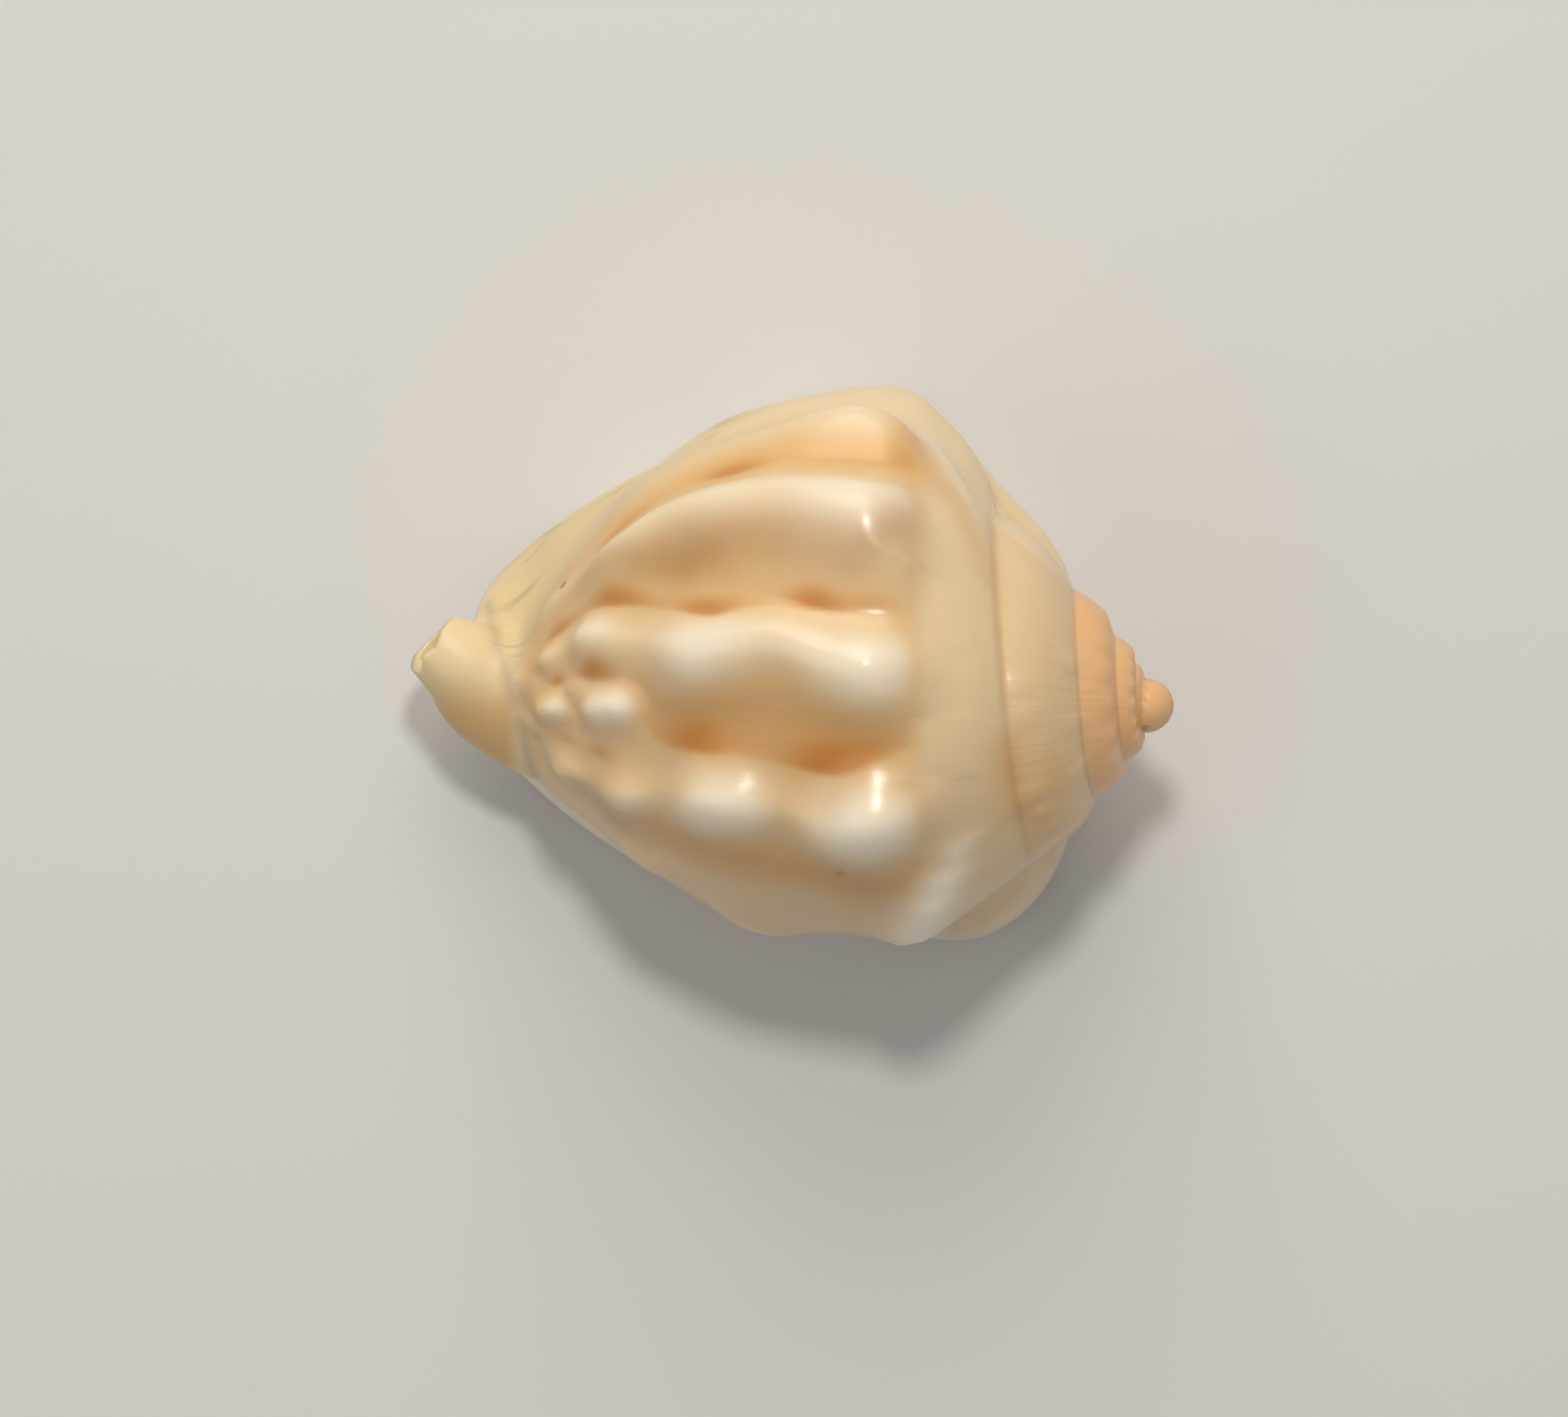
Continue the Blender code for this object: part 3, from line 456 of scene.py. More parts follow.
mouthForm = dict(
    # aperture, seen from below: (along, across, half width)
    middle=(
        (-13, 10, 1), (-20, 10.8, 1.7), (-28, 9.6, 1.8), (-36, 6.6, 1.8), (-42.2, 3.7, 1.6),
    ),
    rise=1.8,  # how far the callus curves up into the aperture
    reach=4.2,
    skin=1.1,  # callus between the coil and the underside
    wall=1.9,
    lipWall=3.6,
    lipWallAngles=(60, 110),
    innerWall=1,  # between the hollow and the turn before it
    leastRoom=1,
    deepSize=0.45,  # size of the hollow's section deep inside, as a share of the room there
    deepEase=(-0.2, 0.35),
    squared=0.75,  # power that squares its sections
    back=(-12.6, 0.5),  # back end near the mouth, and how much farther forward deep inside
    front=(-30, 9.5),  # front end deep inside, and how much farther forward near the mouth
    inset=0.6,
    angles=(-40, -20, 5, 30, 55, 80, 100),
    heights=(6, 4.6, 3.2, 2, 1, 0, -2),
    teeth=11,  # along the outer lip, and as many folds on the shield's side
    toothReach=0.8,  # how far a tooth stands into the aperture
    toothHeight=0.8,  # and how far it stands out of the underside
    toothPower=0.8,
    toothInset=(3, 4),  # teeth begin and end this far inside the aperture's ends
    toothEnds=((-0.02, 0.06), (0.94, 1.02)),
    toothFade=(1.6, 3.6),  # distances from the aperture over which they fade on the underside
    toothInside=(6, 2),  # heights inside over which they set in
    leastHalf=0.3,
    widening=0.06,  # of the slit for each mm of height
    columns=300,
)


def mouthAt(x):
    # middle and half width of the aperture at distances x along the axis
    knots = np.asarray(mouthForm["middle"])
    t = np.interp(-x, -knots[:, 0], np.arange(len(knots)))
    return through(knots[:, 1:], t)


def toothWave(x, side):
    # rounded teeth along the aperture, a quarter step apart on its two sides, fading at its ends
    form = mouthForm
    first = form["middle"][0][0] - form["toothInset"][0]
    last = form["middle"][-1][0] + form["toothInset"][1]
    share = (x - first) / (last - first)
    wave = np.sin(2 * np.pi * (share * form["teeth"] + 0.25 * (side > 0)))
    return np.clip(wave, 0, 1) ** form["toothPower"] * between(*form["toothEnds"], share)


# Inner edge of the outer lip, seen from above, and the edge of the shield beside the canal
lipLine = ((-43.7, 1.8), (-41.2, 7.1), (-38.4, 12), (-33.4, 16.4), (-26.2, 19.1), (-20.8, 20.6),
           (-19, 20.6), (-16.4, 19.3), (-14.6, 17.8), (-13.2, 15.6), (-11.1, 12.7), (-10.2, 12))
shieldLine = ((-34, -9.6), (-36.9, -7.1), (-41.2, -3.1), (-42.9, 1.4))

# The outer lip's ridge on the whorl behind it
ridgeForm = dict(
    height=0.22,
    rise=(-0.5, 1.4),  # distances from the lip line over which it rises
    groove=0.05,  # depth of the groove along the line, its place and half width
    groovePlace=-0.35,
    grooveWidth=0.45,
    along=((-44.5, -42), (-24, -18)),
    below=21.5,  # height under which it is part of the lip
)


def frontLift(x):
    # how far the front of the underside stands off the resting plane
    return callusForm["frontLift"] * ease(*callusForm["lift"], -x)


def undersideRise(x, y):
    # height of the underside: level where it rests, hollow in the shield's middle and by the aperture
    form = callusForm
    near = np.hypot((x - form["hollowMiddle"][0]) / form["hollowReach"][0],
                    (y - form["hollowMiddle"][1]) / form["hollowReach"][1])
    hollow = form["hollowRise"] * (1 - ease(0, 1, near))
    off = y - mouthAt(x)[..., 0]
    knots = mouthForm["middle"]
    past = np.maximum(np.maximum(x - knots[0][0], knots[-1][0] - x), 0)
    mouth = mouthForm["rise"] * (1 - ease(0, mouthForm["reach"], np.hypot(off, past)))
    toothed = 1 - ease(*mouthForm["toothFade"], np.abs(off))
    teeth = mouthForm["toothHeight"] * toothWave(x, off) * toothed
    return np.maximum(hollow, mouth - teeth) + frontLift(x)


def lipFlare(x, radius, angle):
    # radius near the outer lip, where the last whorl swells out to the edge of the callus
    form = callusForm
    edge = np.asarray(form["edge"])[form["lipFirst"]:form["lipLast"], :2]
    reach = np.interp(-x, -edge[:, 0], edge[:, 1] - form["lipSetback"])
    upright = np.sin(np.radians(np.clip(angle, *form["uprightAngles"])))
    upright = np.maximum(upright, form["leastUpright"]) ** form["uprightPower"]
    share = ease(*form["lipSwells"], angle) * between(*form["flareAlong"], -x)
    return radius + np.maximum(reach / upright - radius, 0) * share


def awayFrom(line, x, y):
    # distance from a line through points, taken as negative on its right hand side
    knots = np.asarray(line)
    near = np.full(np.shape(x), np.inf)
    signed = np.zeros(np.shape(x))
    for (x1, y1), (x2, y2) in zip(knots[:-1], knots[1:]):
        stepX, stepY = x2 - x1, y2 - y1
        share = np.clip(((x - x1) * stepX + (y - y1) * stepY) / (stepX**2 + stepY**2), 0, 1)
        offX, offY = x - x1 - share * stepX, y - y1 - share * stepY
        far = np.hypot(offX, offY)
        side = np.where(stepX * offY - stepY * offX > 0, 1.0, -1.0)
        signed = np.where(far < near, side * far, signed)
        near = np.minimum(far, near)
    return signed


def lipRidge(grid):
    # the lip stands a little above the whorl behind it, with a shallow groove along its inner edge
    form = ridgeForm
    off = awayFrom(lipLine, grid[..., 0], grid[..., 1])
    groove = np.exp(-((off - form["groovePlace"]) / form["grooveWidth"]) ** 2)
    shape = form["height"] * ease(*form["rise"], off) - form["groove"] * groove
    return shape * between(*form["along"], grid[..., 0]) * (grid[..., 2] < form["below"])


def makeCoil():
    # a strip that winds round the axis: columns of outline points turn by turn, each spire whorl's
    # lower edge being the upper edge of the whorl one turn later; the last column meets the wall
    # one turn before it in a web. Rows on the spire gather near the sutures, and places under the
    # callus are squeezed by exp(height - 1) so that they stay inside it
    form = coilForm
    n, total = form["columns"], form["columns"] * form["turns"]
    rowsHigh, rowsFront = form["rowsPerWhorl"], form["rowsToFront"]
    rows = rowsHigh + rowsFront
    turn = form["lipTurn"] - form["turns"] + np.arange(total) / n
    even = np.linspace(0, 1, rowsHigh + 1)
    whorl = (even + (1 - np.cos(np.pi * even)) / 2) / 2
    down = np.concatenate([whorl, 1 + np.linspace(0, 1, rowsFront + 1)[1:]])
    turnGrid, downGrid = np.meshgrid(turn, down, indexing="ij")
    outline = coilOutline(turnGrid, downGrid)
    angle = 360 * turnGrid
    x = outline[..., 0]
    onLast = ease(form["lipTurn"] + form["mounds"][0], form["lipTurn"] + form["mounds"][1], turnGrid)
    radius = lipFlare(x, outline[..., 1] * (1 + (squareness(x, angle) - 1) * onLast), angle)
    grid = turned(x, radius, angle)
    height = moundsAt(x, angle, radius) * onLast
    height += strokes(beads, x, angle, radius) * (x > form["beadsBehind"]) + lipRidge(grid)
    grid += normalsOf(grid) * height[..., None]
    floor = undersideRise(grid[..., 0], grid[..., 1]) + mouthForm["skin"]
    above = grid[..., 2] - floor
    grid[..., 2] = floor + np.where(above > 1, above, np.exp(np.minimum(above, 1) - 1))

    index = np.arange(total * (rows + 1)).reshape(total, rows + 1)
    joined = index.copy()
    joined[:total - n, rowsHigh] = index[n:, 0]
    joined[:n + 1, 0] = index[0, 0]
    joined[0, :] = index[0, 0]
    joined[total - n:, rows] = index[-1, rows]
    joined[turnGrid + downGrid <= form["lipTurn"] - form["turns"] + 1 + 1e-6] = index[0, 0]
    faces = []
    for part in (joined[:total - n + 1, :rowsHigh + 1], joined[total - n:]):
        faces.append(twoTriangles(part[:-1, :-1], part[1:, :-1], part[1:, 1:], part[:-1, 1:]))
    before = np.round(np.arange(rows + 1) * rowsFront / rows).astype(int)
    partner = joined[total - n, rowsHigh + before]
    end = joined[-1]
    faces.append(twoTriangles(end[:-1], partner[:-1], partner[1:], end[1:]))
    return makePiece("shell_surface", grid.reshape(-1, 3), np.concatenate(faces))


def makeCallus():
    # rings outwards under the plate, up round its rounded edge, a half circle, and over the brim, which
    # rises by share ^ brimHollow or, where it is domed, by a quarter of a sine wave
    form = callusForm
    t = np.arange(form["columns"]) / form["columns"] * len(form["edge"])
    edge = through(form["edge"], t, closed=True)
    rim = edge[:, :2]
    thick, bend, brim, rise, domed = edge[:, 2:].T
    centre = np.array(form["centre"])
    reach = np.linalg.norm(rim - centre, axis=1)
    toCentre = (centre - rim) / reach[:, None]
    rings = []
    for share in np.linspace(*form["underRings"]):
        place = centre - toCentre * ((reach - bend) * share)[:, None]
        rings.append((place, undersideRise(*place.T)))
    lift = undersideRise(*(rim + toCentre * bend[:, None]).T)
    for angle in np.radians(np.linspace(-90, 90, form["edgeRings"])):
        place = rim + toCentre * (bend * (1 - math.cos(angle)))[:, None]
        rings.append((place, lift + thick * (1 + math.sin(angle)) / 2))
    for share in np.linspace(*form["brimRings"]):
        place = rim + toCentre * (bend + brim * share)[:, None]
        hollowed = share ** form["brimHollow"]
        swollen = form["brimSwell"] * math.sin(math.pi / 2 * share)
        rings.append((place, lift + thick + rise * (hollowed + (swollen - hollowed) * domed)))
    bottom = np.array([*centre, float(undersideRise(*centre[:, None])[0])])
    return ringPiece("callus", [np.column_stack(ring) for ring in rings], bottom,
                     np.array([*centre, form["topHeight"]]))


# Siphonal canal: a short spout that bends up and ends in a broken edge

canalForm = dict(
    # (along, across, height, half width across, half depth)
    path=((-37, -0.5, 6.5, 5, 4.4), (-41, 0.2, 6.9, 5.3, 4.8), (-44.6, 1.3, 7.6, 4.3, 3.9),
          (-47, 3, 8.8, 3.1, 3), (-48.9, 4.3, 9.2, 2.35, 2.4)),
    wall=0.9,
    boreBeyond=1.2,  # how far the bore runs past the canal's end, in steps of its path
    # chips in its broken end: (degrees round it, how far the edge stands out there), and the length
    # over which they set in, in steps of the path
    chips=((15, 0), (60, 0.25), (95, -0.15), (120, 0.2), (150, -0.35), (180, 0.1), (230, 0.3),
           (300, -0.2)),
    chipEase=1.2,
    columns=110,
    steps=56,
)


def tube(path, columns, steps, chips=None):
    # rings along a smooth path: middle + cos a * half width across it + sin a * half depth
    t = np.linspace(0, len(path) - 1, steps)
    at = through(path, t)
    middle = at[:, :3]
    ahead = np.gradient(middle, axis=0)
    ahead /= np.linalg.norm(ahead, axis=1, keepdims=True)
    side = np.cross(ahead, [0, 0, 1.0])
    side /= np.linalg.norm(side, axis=1, keepdims=True)
    up = np.cross(side, ahead)
    a = np.arange(columns) / columns * 2 * np.pi
    rings = (middle[:, None] + np.cos(a)[None, :, None] * side[:, None] * at[:, None, 3:4]
             + np.sin(a)[None, :, None] * up[:, None] * at[:, None, 4:5])
    if chips:
        places = np.asarray(chips)
        jag = np.interp(np.degrees(a), places[:, 0], places[:, 1], period=360)
        share = ease(len(path) - 1 - canalForm["chipEase"], len(path) - 1, t)
        rings += ahead[:, None] * (share[:, None] * jag[None, :])[..., None]
    return rings, middle


def makeCanal():
    # the spout, still solid, with its broken end
    rings, middle = tube(canalForm["path"], canalForm["columns"], canalForm["steps"], canalForm["chips"])
    return ringPiece("canal", rings, middle[0], middle[-1])


def makeTrough():
    # the canal's bore, a tube a wall's thickness smaller that runs out through its broken end; it is
    # cut before the canal meets the whorl, whose front stays whole around the aperture
    path = np.array(canalForm["path"])[1:]
    path[:, 3:] -= canalForm["wall"]
    beyond = path[-1] + (path[-1] - path[-2]) * canalForm["boreBeyond"]
    beyond[3:] = path[-1, 3:]
    rings, middle = tube(np.vstack([path, beyond]), canalForm["columns"], canalForm["steps"])
    return ringPiece("trough", rings, middle[0], middle[-1])


def wallRadius(turn, x):
    # radius of the coil's wall at one turn, read off its outline at distances x along the axis
    samples = 161
    down = np.linspace(0, 2, samples)
    outline = coilOutline(np.full_like(down, turn)[None], down[None])[0]
    order = np.argsort(outline[:, 0])
    return np.interp(x, outline[order, 0], outline[order, 1])


def makeAperture():
    # the hollow: rounded sections across the last whorl, middle + half length * cos a along it and
    # half room * sin a across it, from deep inside to the toothed slit below
    form = mouthForm
    a = np.arange(form["columns"]) / form["columns"] * 2 * np.pi
    along, side = np.cos(a), np.sign(np.sin(a)) * np.abs(np.sin(a)) ** form["squared"]
    rings = []
    angles = form["angles"]
    for k, angle in enumerate(angles):
        near = k / (len(angles) - 1)
        back = form["back"][0] - form["back"][1] * (1 - near)
        front = form["front"][0] - form["front"][1] * near
        x = (back + front) / 2 + (back - front) / 2 * along
        wall = form["wall"] + (form["lipWall"] - form["wall"]) * ease(*form["lipWallAngles"], angle)
        outer = wallRadius(angle / 360, x) - wall
        inner = np.minimum(wallRadius(angle / 360 - 1, x) + form["innerWall"], outer - form["leastRoom"])
        size = form["deepSize"] + (1 - form["deepSize"]) * ease(*form["deepEase"], near)
        radius = (outer + inner) / 2 + (outer - inner) / 2 * side * size
        rings.append(turned(x, radius, angle))
    back, front = form["middle"][0][0] + form["inset"], form["middle"][-1][0] - form["inset"]
    x = (back + front) / 2 + (back - front) / 2 * along
    middle, half = mouthAt(x).T
    for height in form["heights"]:
        bite = form["toothReach"] * toothWave(x, side) * ease(*form["toothInside"], height)
        narrowed = np.maximum(half - bite, form["leastHalf"]) * (1 + form["widening"] * height)
        lift = frontLift(x) * (height > 0)
        rings.append(np.stack([x, middle + narrowed * side, height + lift], -1))
    return ringPiece("aperture", rings, np.mean(rings[0], axis=0), np.mean(rings[-1], axis=0))


def cutAndJoin(coil, helpers):
    # boolean steps in turn, then the result as a mesh of its own at the origin
    for helper, operation in helpers:
        step = coil.modifiers.new(helper.name, "BOOLEAN")
        step.operation = operation
        step.object = helper
    ready = coil.evaluated_get(bpy.context.evaluated_depsgraph_get())
    mesh = bpy.data.meshes.new_from_object(ready)
    mesh.name = "shell_surface"
    coil.modifiers.clear()
    coil.data = mesh
    for helper, _ in helpers:
        bpy.data.objects.remove(helper)
    mesh.shade_smooth()
    return coil


shell = makeCoil()
print("coil:", len(shell.data.polygons), "faces")
canal = cutAndJoin(makeCanal(), [(makeTrough(), "DIFFERENCE")])
shell = cutAndJoin(shell, [(makeCallus(), "UNION"), (canal, "UNION"), (makeAperture(), "DIFFERENCE")])
print("shell joined and cut:", len(shell.data.polygons), "faces")


softenForm = dict(
    angle=22,  # creases sharper than this many degrees are rounded
    rounds=10,
    pace=0.5,  # part of the way to its neighbours' mean that a point goes in a round
    spreadRounds=3,  # the rounding spreads to this many points on both sides of a crease,
    spreadShare=0.75,  # each one weaker than the one before
    sharpTip=-47.6,  # the canal's broken edge beyond this stays sharp
    spireFrom=-11.6,  # the sutures of the spire stay crisp
    spireAbove=12.5,
    # joins filled with a hollow curve: the lobe with the whorl above it, the whorl's front with the
    # lip, and the canal with the whorl, each as its middle and how far round it the filling reaches
    joins=(((-9.5, -13, 13), (5, 3.2, 6)), ((-42, 8.6, 9.5), (3.5, 3.5, 5)),
           ((-43.2, 2.5, 11), (1.2, 4, 3.5))),
    joinRounds=160,
)


def softenCreases(piece):
    # each point near a crease moves to the mean of its neighbours, a few times over, and many more
    # times round the joins, whose weight is exp(-(distance from the middle / reach)^2)
    mesh = piece.data
    count = len(mesh.vertices)
    points = readMesh(mesh.vertices, "co", 3)
    ends = readMesh(mesh.edges, "vertices", 2, int)
    normals = readMesh(mesh.polygons, "normal", 3)
    loopEdge = readMesh(mesh.loops, "edge_index", 1, int)
    sizes = readMesh(mesh.polygons, "loop_total", 1, int)
    faceOf = np.repeat(np.arange(len(sizes)), sizes)
    pairs = faceOf[np.argsort(loopEdge, kind="stable")].reshape(-1, 2)
    bend = np.sum(normals[pairs[:, 0]] * normals[pairs[:, 1]], axis=1)
    sharp = bend < math.cos(math.radians(softenForm["angle"]))
    mask = np.zeros(count)
    mask[ends[sharp].ravel()] = 1.0
    degree = np.bincount(ends.ravel(), minlength=count)
    for _ in range(softenForm["spreadRounds"]):
        spread = np.zeros(count)
        np.maximum.at(spread, ends[:, 0], mask[ends[:, 1]])
        np.maximum.at(spread, ends[:, 1], mask[ends[:, 0]])
        mask = np.maximum(mask, spread * softenForm["spreadShare"])
    spots = unplaced(points)
    mask *= spots[:, 0] > softenForm["sharpTip"]
    mask *= (spots[:, 0] < softenForm["spireFrom"]) | (spots[:, 2] < softenForm["spireAbove"])
    joins = np.zeros(count)
    for middle, reach in softenForm["joins"]:
        joins = np.maximum(joins, np.exp(-np.sum(((spots - middle) / reach) ** 2, axis=1)))
    for rounds, share in ((softenForm["rounds"], mask), (softenForm["joinRounds"], joins)):
        for _ in range(rounds):
            mean = np.zeros_like(points)
            for axis in range(3):
                mean[:, axis] = (np.bincount(ends[:, 0], points[ends[:, 1], axis], count)
                                 + np.bincount(ends[:, 1], points[ends[:, 0], axis], count)) / degree
            points += (mean - points) * (softenForm["pace"] * share)[:, None]
    mesh.vertices.foreach_set("co", points.ravel())
    mesh.update()


softenCreases(shell)
print("creases rounded")


# Marks on the surface, kept as attributes for the glaze

markForm = dict(
    fullCrest=1.6,  # height of a rib or knob at which it counts as a full crest
    windLean=0.25,  # turns by which the spire's colours reach farther on the lip's side
    shieldTop=9.5,  # height to which the callus's own colour reaches
    lipBottom=3.6,  # and on the outer lip
    shieldFull=0.25,  # share of that height up to which it is full
    spire=(-0.04, 0.05),  # turns over which the spire's colours end
    upperSpire=(-1.15, -0.9),
    sutureWidth=0.035,  # in turns
    sutureFrom=(-3.4, -2.6),
    sutureTo=(0.2, 0.3),
    ribbedAlong=((13.6, 15.6), (42, 43.5)),
    ribbedAngles=((-56, -40), (62, 78)),
    lip=(-0.6, 0.8),  # distances from the lip line over which its colour sets in
    lipFrom=(-46.5, -43),
    lipEdge=(-0.1, 0.35),  # place of the line along it and half its width
    lipEdgeTo=(-26, -19),
    # along the shell, with how far each leans back for each mm across it
    canal=(-44.6, -43.4),
    canalLean=0.25,
    canalLow=((-44, -42.6), (-1, 2.6)),
    # painted shade: a grey line along the crease where the canal meets the whorl
    crease=(-43.2, 0.45),
    creaseLean=0.28,
    shieldEdgeWidth=0.4,
    lobe=(-9, -13.6),
    lobeReach=3,
    # painted shade on the side away from the lamps: full below the first of these places across, gone above
    # the second
    below=(-15, 6),
    overEdge=6,  # heights above which the canal's and shield's edges, the crease and the
    overCrease=7,  # dark marks are looked for
    overSpecks=8,
    specks=(
        # (along, across) at the two ends seen from above, half width: dark marks that the shell carries
        ((-39.75, 8.35), (-39.95, 8.05), 0.10), ((-21, -11.3), (-21.15, -11.35), 0.12),
        ((-0.35, -1.5), (-0.35, -1.55), 0.16),
    ),
)


def turnAt(x):
    # the turn at which the suture passes distance x below the tip
    form = coilForm
    shortest = 0.02
    radius = (np.maximum(form["spireTop"] - x, shortest) / form["spireDrop"]) ** (1 / form["spireCurve"])
    return np.log(radius / form["sutureRadius"]) / math.log(form["growth"])


def softLine(off, width):
    # a line that fades to both sides: exp(-(distance / half width)^2)
    return np.exp(-(off / width) ** 2)


def markShell(piece):
    # strength of every mark at every point of the surface, from where the point lies on the coil and
    # as seen from above
    form = markForm
    points = unplaced(readMesh(piece.data.vertices, "co", 3))
    seenX, seenY, high = points.T
    x, radius, angle = coilPlace(points)
    base = np.maximum(radius, 1)
    whorls = turnAt(x) - angle / 360
    windUp = turnAt(x) - form["windLean"] * np.sin(np.radians(angle))
    off = awayFrom(lipLine, seenX, seenY)
    outer = (high < ridgeForm["below"]) * ease(*form["lipFrom"], seenX)
    lip = ease(*form["lip"], off) * outer
    shieldTop = form["shieldTop"] + (form["lipBottom"] - form["shieldTop"]) * lip
    specks = np.zeros(len(points))
    for first, last, width in form["specks"]:
        spot = softLine(awayFrom((first, last), seenX, seenY), width)
        specks = np.maximum(specks, spot * (high > form["overSpecks"]))
    marks = {
        "crest": moundsAt(x, angle, base) / form["fullCrest"],
        # orange of the valleys: partly the shell's own, partly painted shade where they are deepest
        "orange": alongLines(orangeLines, x, angle, base),
        # painted shade on the rib slopes that face away from the lamps
        "shadeTan": alongLines(shadeLines, x, angle, base),
        "amber": strokes(amberStrokes, x, angle, base),
        "pale": strokes(paleStrokes, x, angle, base),
        "ribbed": between(*form["ribbedAlong"], -x) * between(*form["ribbedAngles"], angle),
        "spire": 1 - ease(*form["spire"], windUp),
        "upperSpire": 1 - ease(*form["upperSpire"], windUp),
        "suture": softLine(whorls - np.round(whorls), form["sutureWidth"])
                  * (1 - ease(*form["sutureTo"], whorls)) * ease(*form["sutureFrom"], turnAt(x)),
        "lip": lip,
        "lipEdge": softLine(off - form["lipEdge"][0], form["lipEdge"][1]) * outer
                   * (1 - ease(*form["lipEdgeTo"], seenX)),
        "canal": 1 - ease(*form["canal"], seenX + form["canalLean"] * seenY),
        "canalLow": (1 - ease(*form["canalLow"][0], seenX)) * (1 - ease(*form["canalLow"][1], seenY))
                    * (high > form["overEdge"]),
        # painted shade along the canal's crease
        "canalCreaseShade": softLine(seenX + form["creaseLean"] * seenY - form["crease"][0], form["crease"][1])
                       * (high > form["overCrease"]),
        "shieldEdge": softLine(awayFrom(shieldLine, seenX, seenY), form["shieldEdgeWidth"])
                      * (high > form["overEdge"]),
        "shield": 1 - ease(form["shieldFull"] * shieldTop, shieldTop, high),
        "winding": angle / 360,
        "along": x,
        "lobe": softLine(np.hypot(seenX - form["lobe"][0], seenY - form["lobe"][1]), form["lobeReach"]),
        # painted shade on the side away from the lamps
        "below": 1 - ease(*form["below"], seenY),
        "speck": specks,
    }
    for name, values in marks.items():
        layer = piece.data.attributes.new(name, "FLOAT", "POINT")
        layer.data.foreach_set("value", values.astype(np.float32))


markShell(shell)
print("surface marked")


# Glaze: calcium carbonate laid down in thin sheets and polished by the mantle, so it has a soft
# porcelain gloss, lets a little light into it, and is paler where it is thickest

glazeForm = dict(
    cream="F1E3C8",
    peach="E8CEA2",
    # painted shade: tan for the lower side, away from the lamps
    shadeTan="D6B78C",
    # orange and its deepest spots in the valleys: partly the shell's own colour, partly painted shade
    orange="DDAB66",
    deepOrange="C07200",
    # painted shade: brown for the rib slopes that face away from the lamps
    shadeBrown="B4803F",
    amber="DFAB62",
    pale="F3EAD8",
    spire="E8B57E",
    innerSpire="DDBC8D",
    sutureLine="B88448",
    lip="E2CA96",
    lipTop="E8D2A8",
    canal="E9D1A1",
    canalLow="D0A468",
    shield="EFE2CB",
    greyLine="BFA986",
    speck="7A4A1C",
    roughness=0.3,  # kept above 0.28, below which the picture's cleaning leaves map-like outlines
    wornRoughness=0.48,  # at the front and on the canal, where the shell was rubbed
    ior=1.6,
    cloudScale=190.0,  # soft clouds of 5 mm
    growthLines=(120.0, 0.12),  # how closely lines follow one another round the axis and along it
    streaks=(60.0, 0.16),
    growthDepth=0.0002,
    growthStrength=(0.1, 0.25),  # on the last whorl and on the spire
    fineScale=900.0,
    fineDepth=0.0001,
    fineStrength=0.1,
    lightInside=0.25,  # share of the light that goes in, how far each colour goes, and the scale
    lightReach=(1.0, 0.45, 0.22),
    lightScale=0.0022,
)


def linear(code):
    # an sRGB hex colour as linear red, green, blue and full alpha
    values = [int(code[k:k + 2], 16) / 255 for k in (0, 2, 4)]
    return (*[v / 12.92 if v <= 0.04045 else ((v + 0.055) / 1.055) ** 2.4 for v in values], 1.0)


def addNode(tree, kind, inputs=None, **settings):
    # one node with its settings, its fixed inputs and its links
    made = tree.nodes.new(kind)
    for key, value in settings.items():
        setattr(made, key, value)
    for key, value in (inputs or {}).items():
        if isinstance(value, bpy.types.NodeSocket):
            tree.links.new(value, made.inputs[key])
        else:
            made.inputs[key].default_value = value
    return made


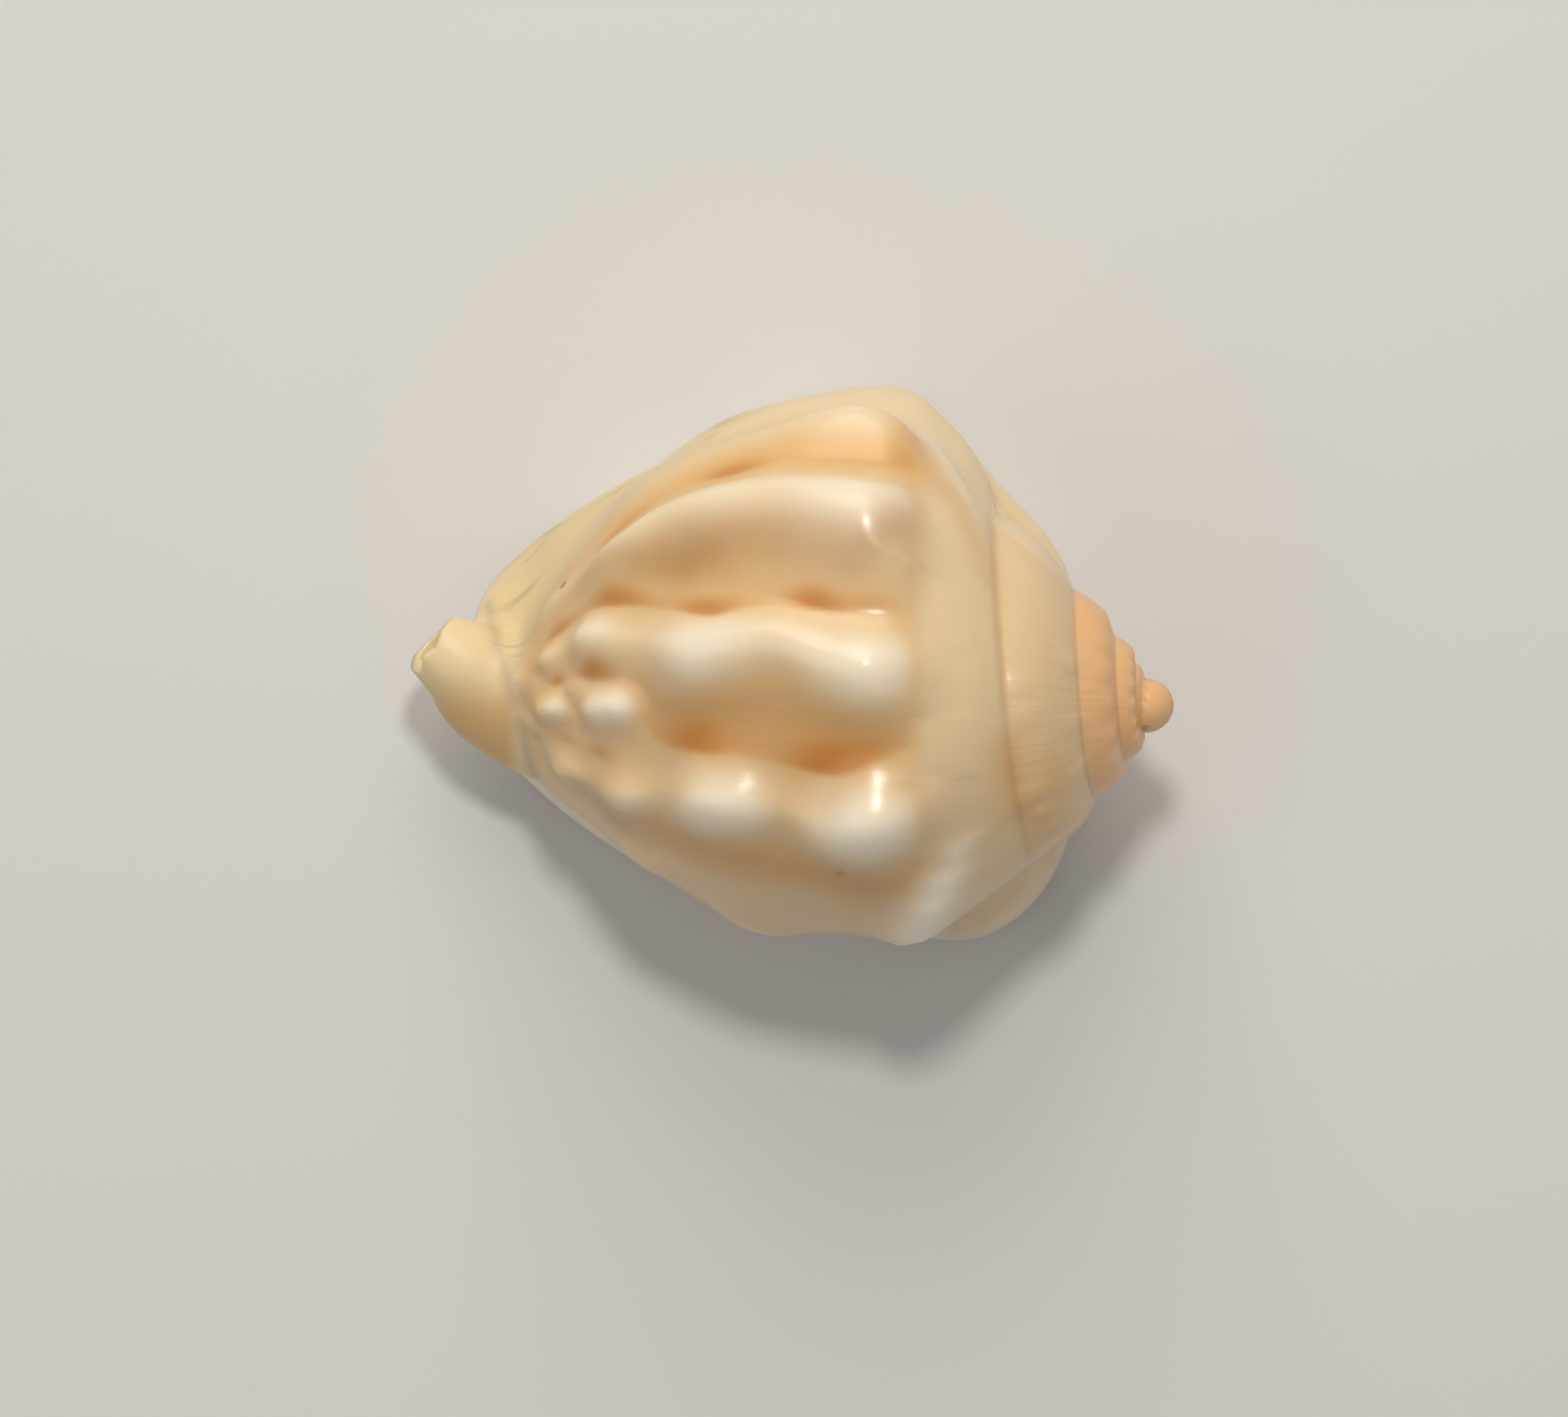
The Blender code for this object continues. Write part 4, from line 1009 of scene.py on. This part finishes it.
def glaze():
    material = bpy.data.materials.new("polished_shell")
    material.use_nodes = True
    tree = material.node_tree
    tree.nodes.clear()
    place = addNode(tree, "ShaderNodeTexCoord").outputs["Object"]

    def mark(name):
        return addNode(tree, "ShaderNodeAttribute", attribute_name=name).outputs["Fac"]

    def blendTo(base, colour, share):
        return addNode(tree, "ShaderNodeMix", {0: share, 6: base, 7: colour}, data_type="RGBA").outputs[2]

    def times(a, b):
        return addNode(tree, "ShaderNodeMath", {0: a, 1: b}, operation="MULTIPLY", use_clamp=True).outputs[0]

    def ranged(value, low, high, toLow=0.0, toHigh=1.0):
        return addNode(tree, "ShaderNodeMapRange", {0: value, 1: low, 2: high, 3: toLow, 4: toHigh},
                       interpolation_type="SMOOTHSTEP").outputs[0]

    def noise(vector, scale, detail):
        inputs = {"Vector": vector, "Scale": scale, "Detail": detail}
        return addNode(tree, "ShaderNodeTexNoise", inputs).outputs["Fac"]

    def drawnOut(turning, forward):
        # noise drawn out along the axis, so that its lines follow the lip's earlier edges
        across = addNode(tree, "ShaderNodeMath", {0: mark("winding"), 1: turning}, operation="MULTIPLY")
        ahead = addNode(tree, "ShaderNodeMath", {0: mark("along"), 1: forward}, operation="MULTIPLY")
        place = addNode(tree, "ShaderNodeCombineXYZ", {0: across.outputs[0], 1: ahead.outputs[0]})
        return noise(place.outputs[0], 1.0, 2.0)

    cloud = noise(place, glazeForm["cloudScale"], 3.0)
    # low ground between the ribs: partly the shell's own orange, partly painted shade in the valleys
    low = times(mark("ribbed"), ranged(mark("crest"), 0.8, 0.0))
    frontLip = times(mark("lip"), ranged(mark("along"), -24.0, -31.0))
    streaks = ranged(drawnOut(*glazeForm["streaks"]), 0.52, 0.68, 0.0, 0.7)
    # colours laid over one another from the ground up, each with where and how strongly
    layers = (
        ("cream", ranged(mark("crest"), 0.4, 1.5)),
        # painted shade: tan over the low ground on the side away from the lamps
        ("shadeTan", times(mark("below"), ranged(mark("crest"), 1.0, 0.1, 0.05, 0.75))),
        ("orange", times(low, ranged(cloud, 0.25, 0.7, 0.25, 0.6))),
        ("innerSpire", times(mark("spire"), 0.6)),
        ("spire", times(mark("upperSpire"), ranged(cloud, 0.3, 0.65, 0.75, 1.0))),
        # painted shade in brown over the rib slopes that face away from the lamps
        ("shadeBrown", times(mark("shadeTan"), 0.75)),
        ("amber", times(mark("amber"), 0.8)),
        # valley lines in orange and deep orange: partly the shell's own colour, partly painted shade
        ("orange", times(mark("orange"), 0.7)),
        ("deepOrange", times(ranged(mark("orange"), 0.25, 1.25), 0.9)),
        ("pale", times(mark("pale"), 0.8)),
        ("sutureLine", times(mark("suture"), 0.32)),
        ("lipTop", times(mark("lip"), 0.6)),
        ("lip", times(frontLip, 0.9)),
        ("greyLine", times(frontLip, streaks)),
        ("greyLine", times(mark("lipEdge"), 0.2)),
        ("lip", times(mark("lobe"), 0.75)),
        ("canal", mark("canal")),
        ("canalLow", times(mark("canalLow"), 0.85)),
        # painted shade in grey along the canal's crease
        ("greyLine", times(mark("canalCreaseShade"), 0.6)),
        ("greyLine", times(mark("shieldEdge"), 0.5)),
        ("shield", mark("shield")),
        ("speck", times(mark("speck"), 0.85)),
    )
    colour = linear(glazeForm["peach"])
    for name, share in layers:
        colour = blendTo(colour, linear(glazeForm[name]), share)
    lines = addNode(tree, "ShaderNodeBump", {
        "Height": drawnOut(*glazeForm["growthLines"]),
        "Distance": glazeForm["growthDepth"],
        "Strength": ranged(mark("spire"), 0.0, 1.0, *glazeForm["growthStrength"]),
    })
    bump = addNode(tree, "ShaderNodeBump", {
        "Height": noise(place, glazeForm["fineScale"], 2.0),
        "Distance": glazeForm["fineDepth"],
        "Strength": glazeForm["fineStrength"],
        "Normal": lines.outputs["Normal"],
    })
    shader = addNode(tree, "ShaderNodeBsdfPrincipled", {
        "Base Color": colour,
        "Roughness": ranged(mark("along"), -33.0, -40.0, glazeForm["roughness"], glazeForm["wornRoughness"]),
        "IOR": glazeForm["ior"],
        "Normal": bump.outputs["Normal"],
        "Subsurface Weight": glazeForm["lightInside"],
        "Subsurface Radius": glazeForm["lightReach"],
        "Subsurface Scale": glazeForm["lightScale"],
    })
    addNode(tree, "ShaderNodeOutputMaterial", {"Surface": shader.outputs[0]})
    return material


shell.data.materials.clear()
shell.data.materials.append(glaze())
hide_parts("shell")
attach(shell, "root")
print("glaze on")


# Studio: a plain pale floor, soft lamps, and a camera that looks straight down

studio = dict(
    frameWidth=106.95,  # mm across the picture at the shell
    aim=(-0.48, -3.01),
    distance=1.0,  # m from the camera to the middle of the shell
    aimHeight=0.012,
    sensor=36.0,
    floorHalf=1.5,  # m from its middle to its edges
    floorColour="D9D7D3",
    floorRoughness=0.8,
    worldLight=0.34,
    lamps=(
        # place in m, size in m, watts, colour
        ((0.01, 0.17, 0.42), 0.06, 0.7, (1.0, 0.98, 0.95)),
        ((-0.05, 0.55, 0.40), 0.55, 1.85, (1.0, 0.93, 0.82)),
        ((-0.30, -0.05, 0.35), 0.30, 0.15, (1.0, 1.0, 1.0)),
    ),
)


def makeFloor():
    mesh = bpy.data.meshes.new("floor")
    half = studio["floorHalf"]
    corners = [(-half, -half, 0), (half, -half, 0), (half, half, 0), (-half, half, 0)]
    mesh.from_pydata(corners, [], [(0, 1, 2, 3)])
    floor = bpy.data.objects.new("floor", mesh)
    bpy.context.scene.collection.objects.link(floor)
    material = bpy.data.materials.new("paper_sweep")
    material.use_nodes = True
    shader = material.node_tree.nodes["Principled BSDF"]
    shader.inputs["Base Color"].default_value = linear(studio["floorColour"])
    shader.inputs["Roughness"].default_value = studio["floorRoughness"]
    mesh.materials.append(material)


def makeLamps():
    for number, (place, size, watts, colour) in enumerate(studio["lamps"]):
        light = bpy.data.lights.new(f"lamp_{number}", "AREA")
        light.shape = "DISK"
        light.size = size
        light.energy = watts
        light.color = colour
        lamp = bpy.data.objects.new(light.name, light)
        lamp.location = place
        lamp.rotation_mode = "QUATERNION"
        lamp.rotation_quaternion = (-lamp.location).to_track_quat("-Z", "Y")
        bpy.context.scene.collection.objects.link(lamp)
    world = bpy.data.worlds.new("room")
    bpy.context.scene.world = world
    world.use_nodes = True
    background = world.node_tree.nodes["Background"]
    background.inputs["Strength"].default_value = studio["worldLight"]
    background.inputs["Color"].default_value = (1, 1, 1, 1)


def makeCamera():
    data = bpy.data.cameras.new("camera")
    data.sensor_width = studio["sensor"]
    data.lens = studio["sensor"] * studio["distance"] / (studio["frameWidth"] * mm)
    camera = bpy.data.objects.new("camera", data)
    x, y = studio["aim"]
    camera.location = (x * mm, y * mm, studio["distance"] + studio["aimHeight"])
    bpy.context.scene.collection.objects.link(camera)
    bpy.context.scene.camera = camera


bpy.context.scene.view_settings.view_transform = "Standard"  # so that the hex colours stay true
makeFloor()
makeLamps()
makeCamera()
print("studio ready")
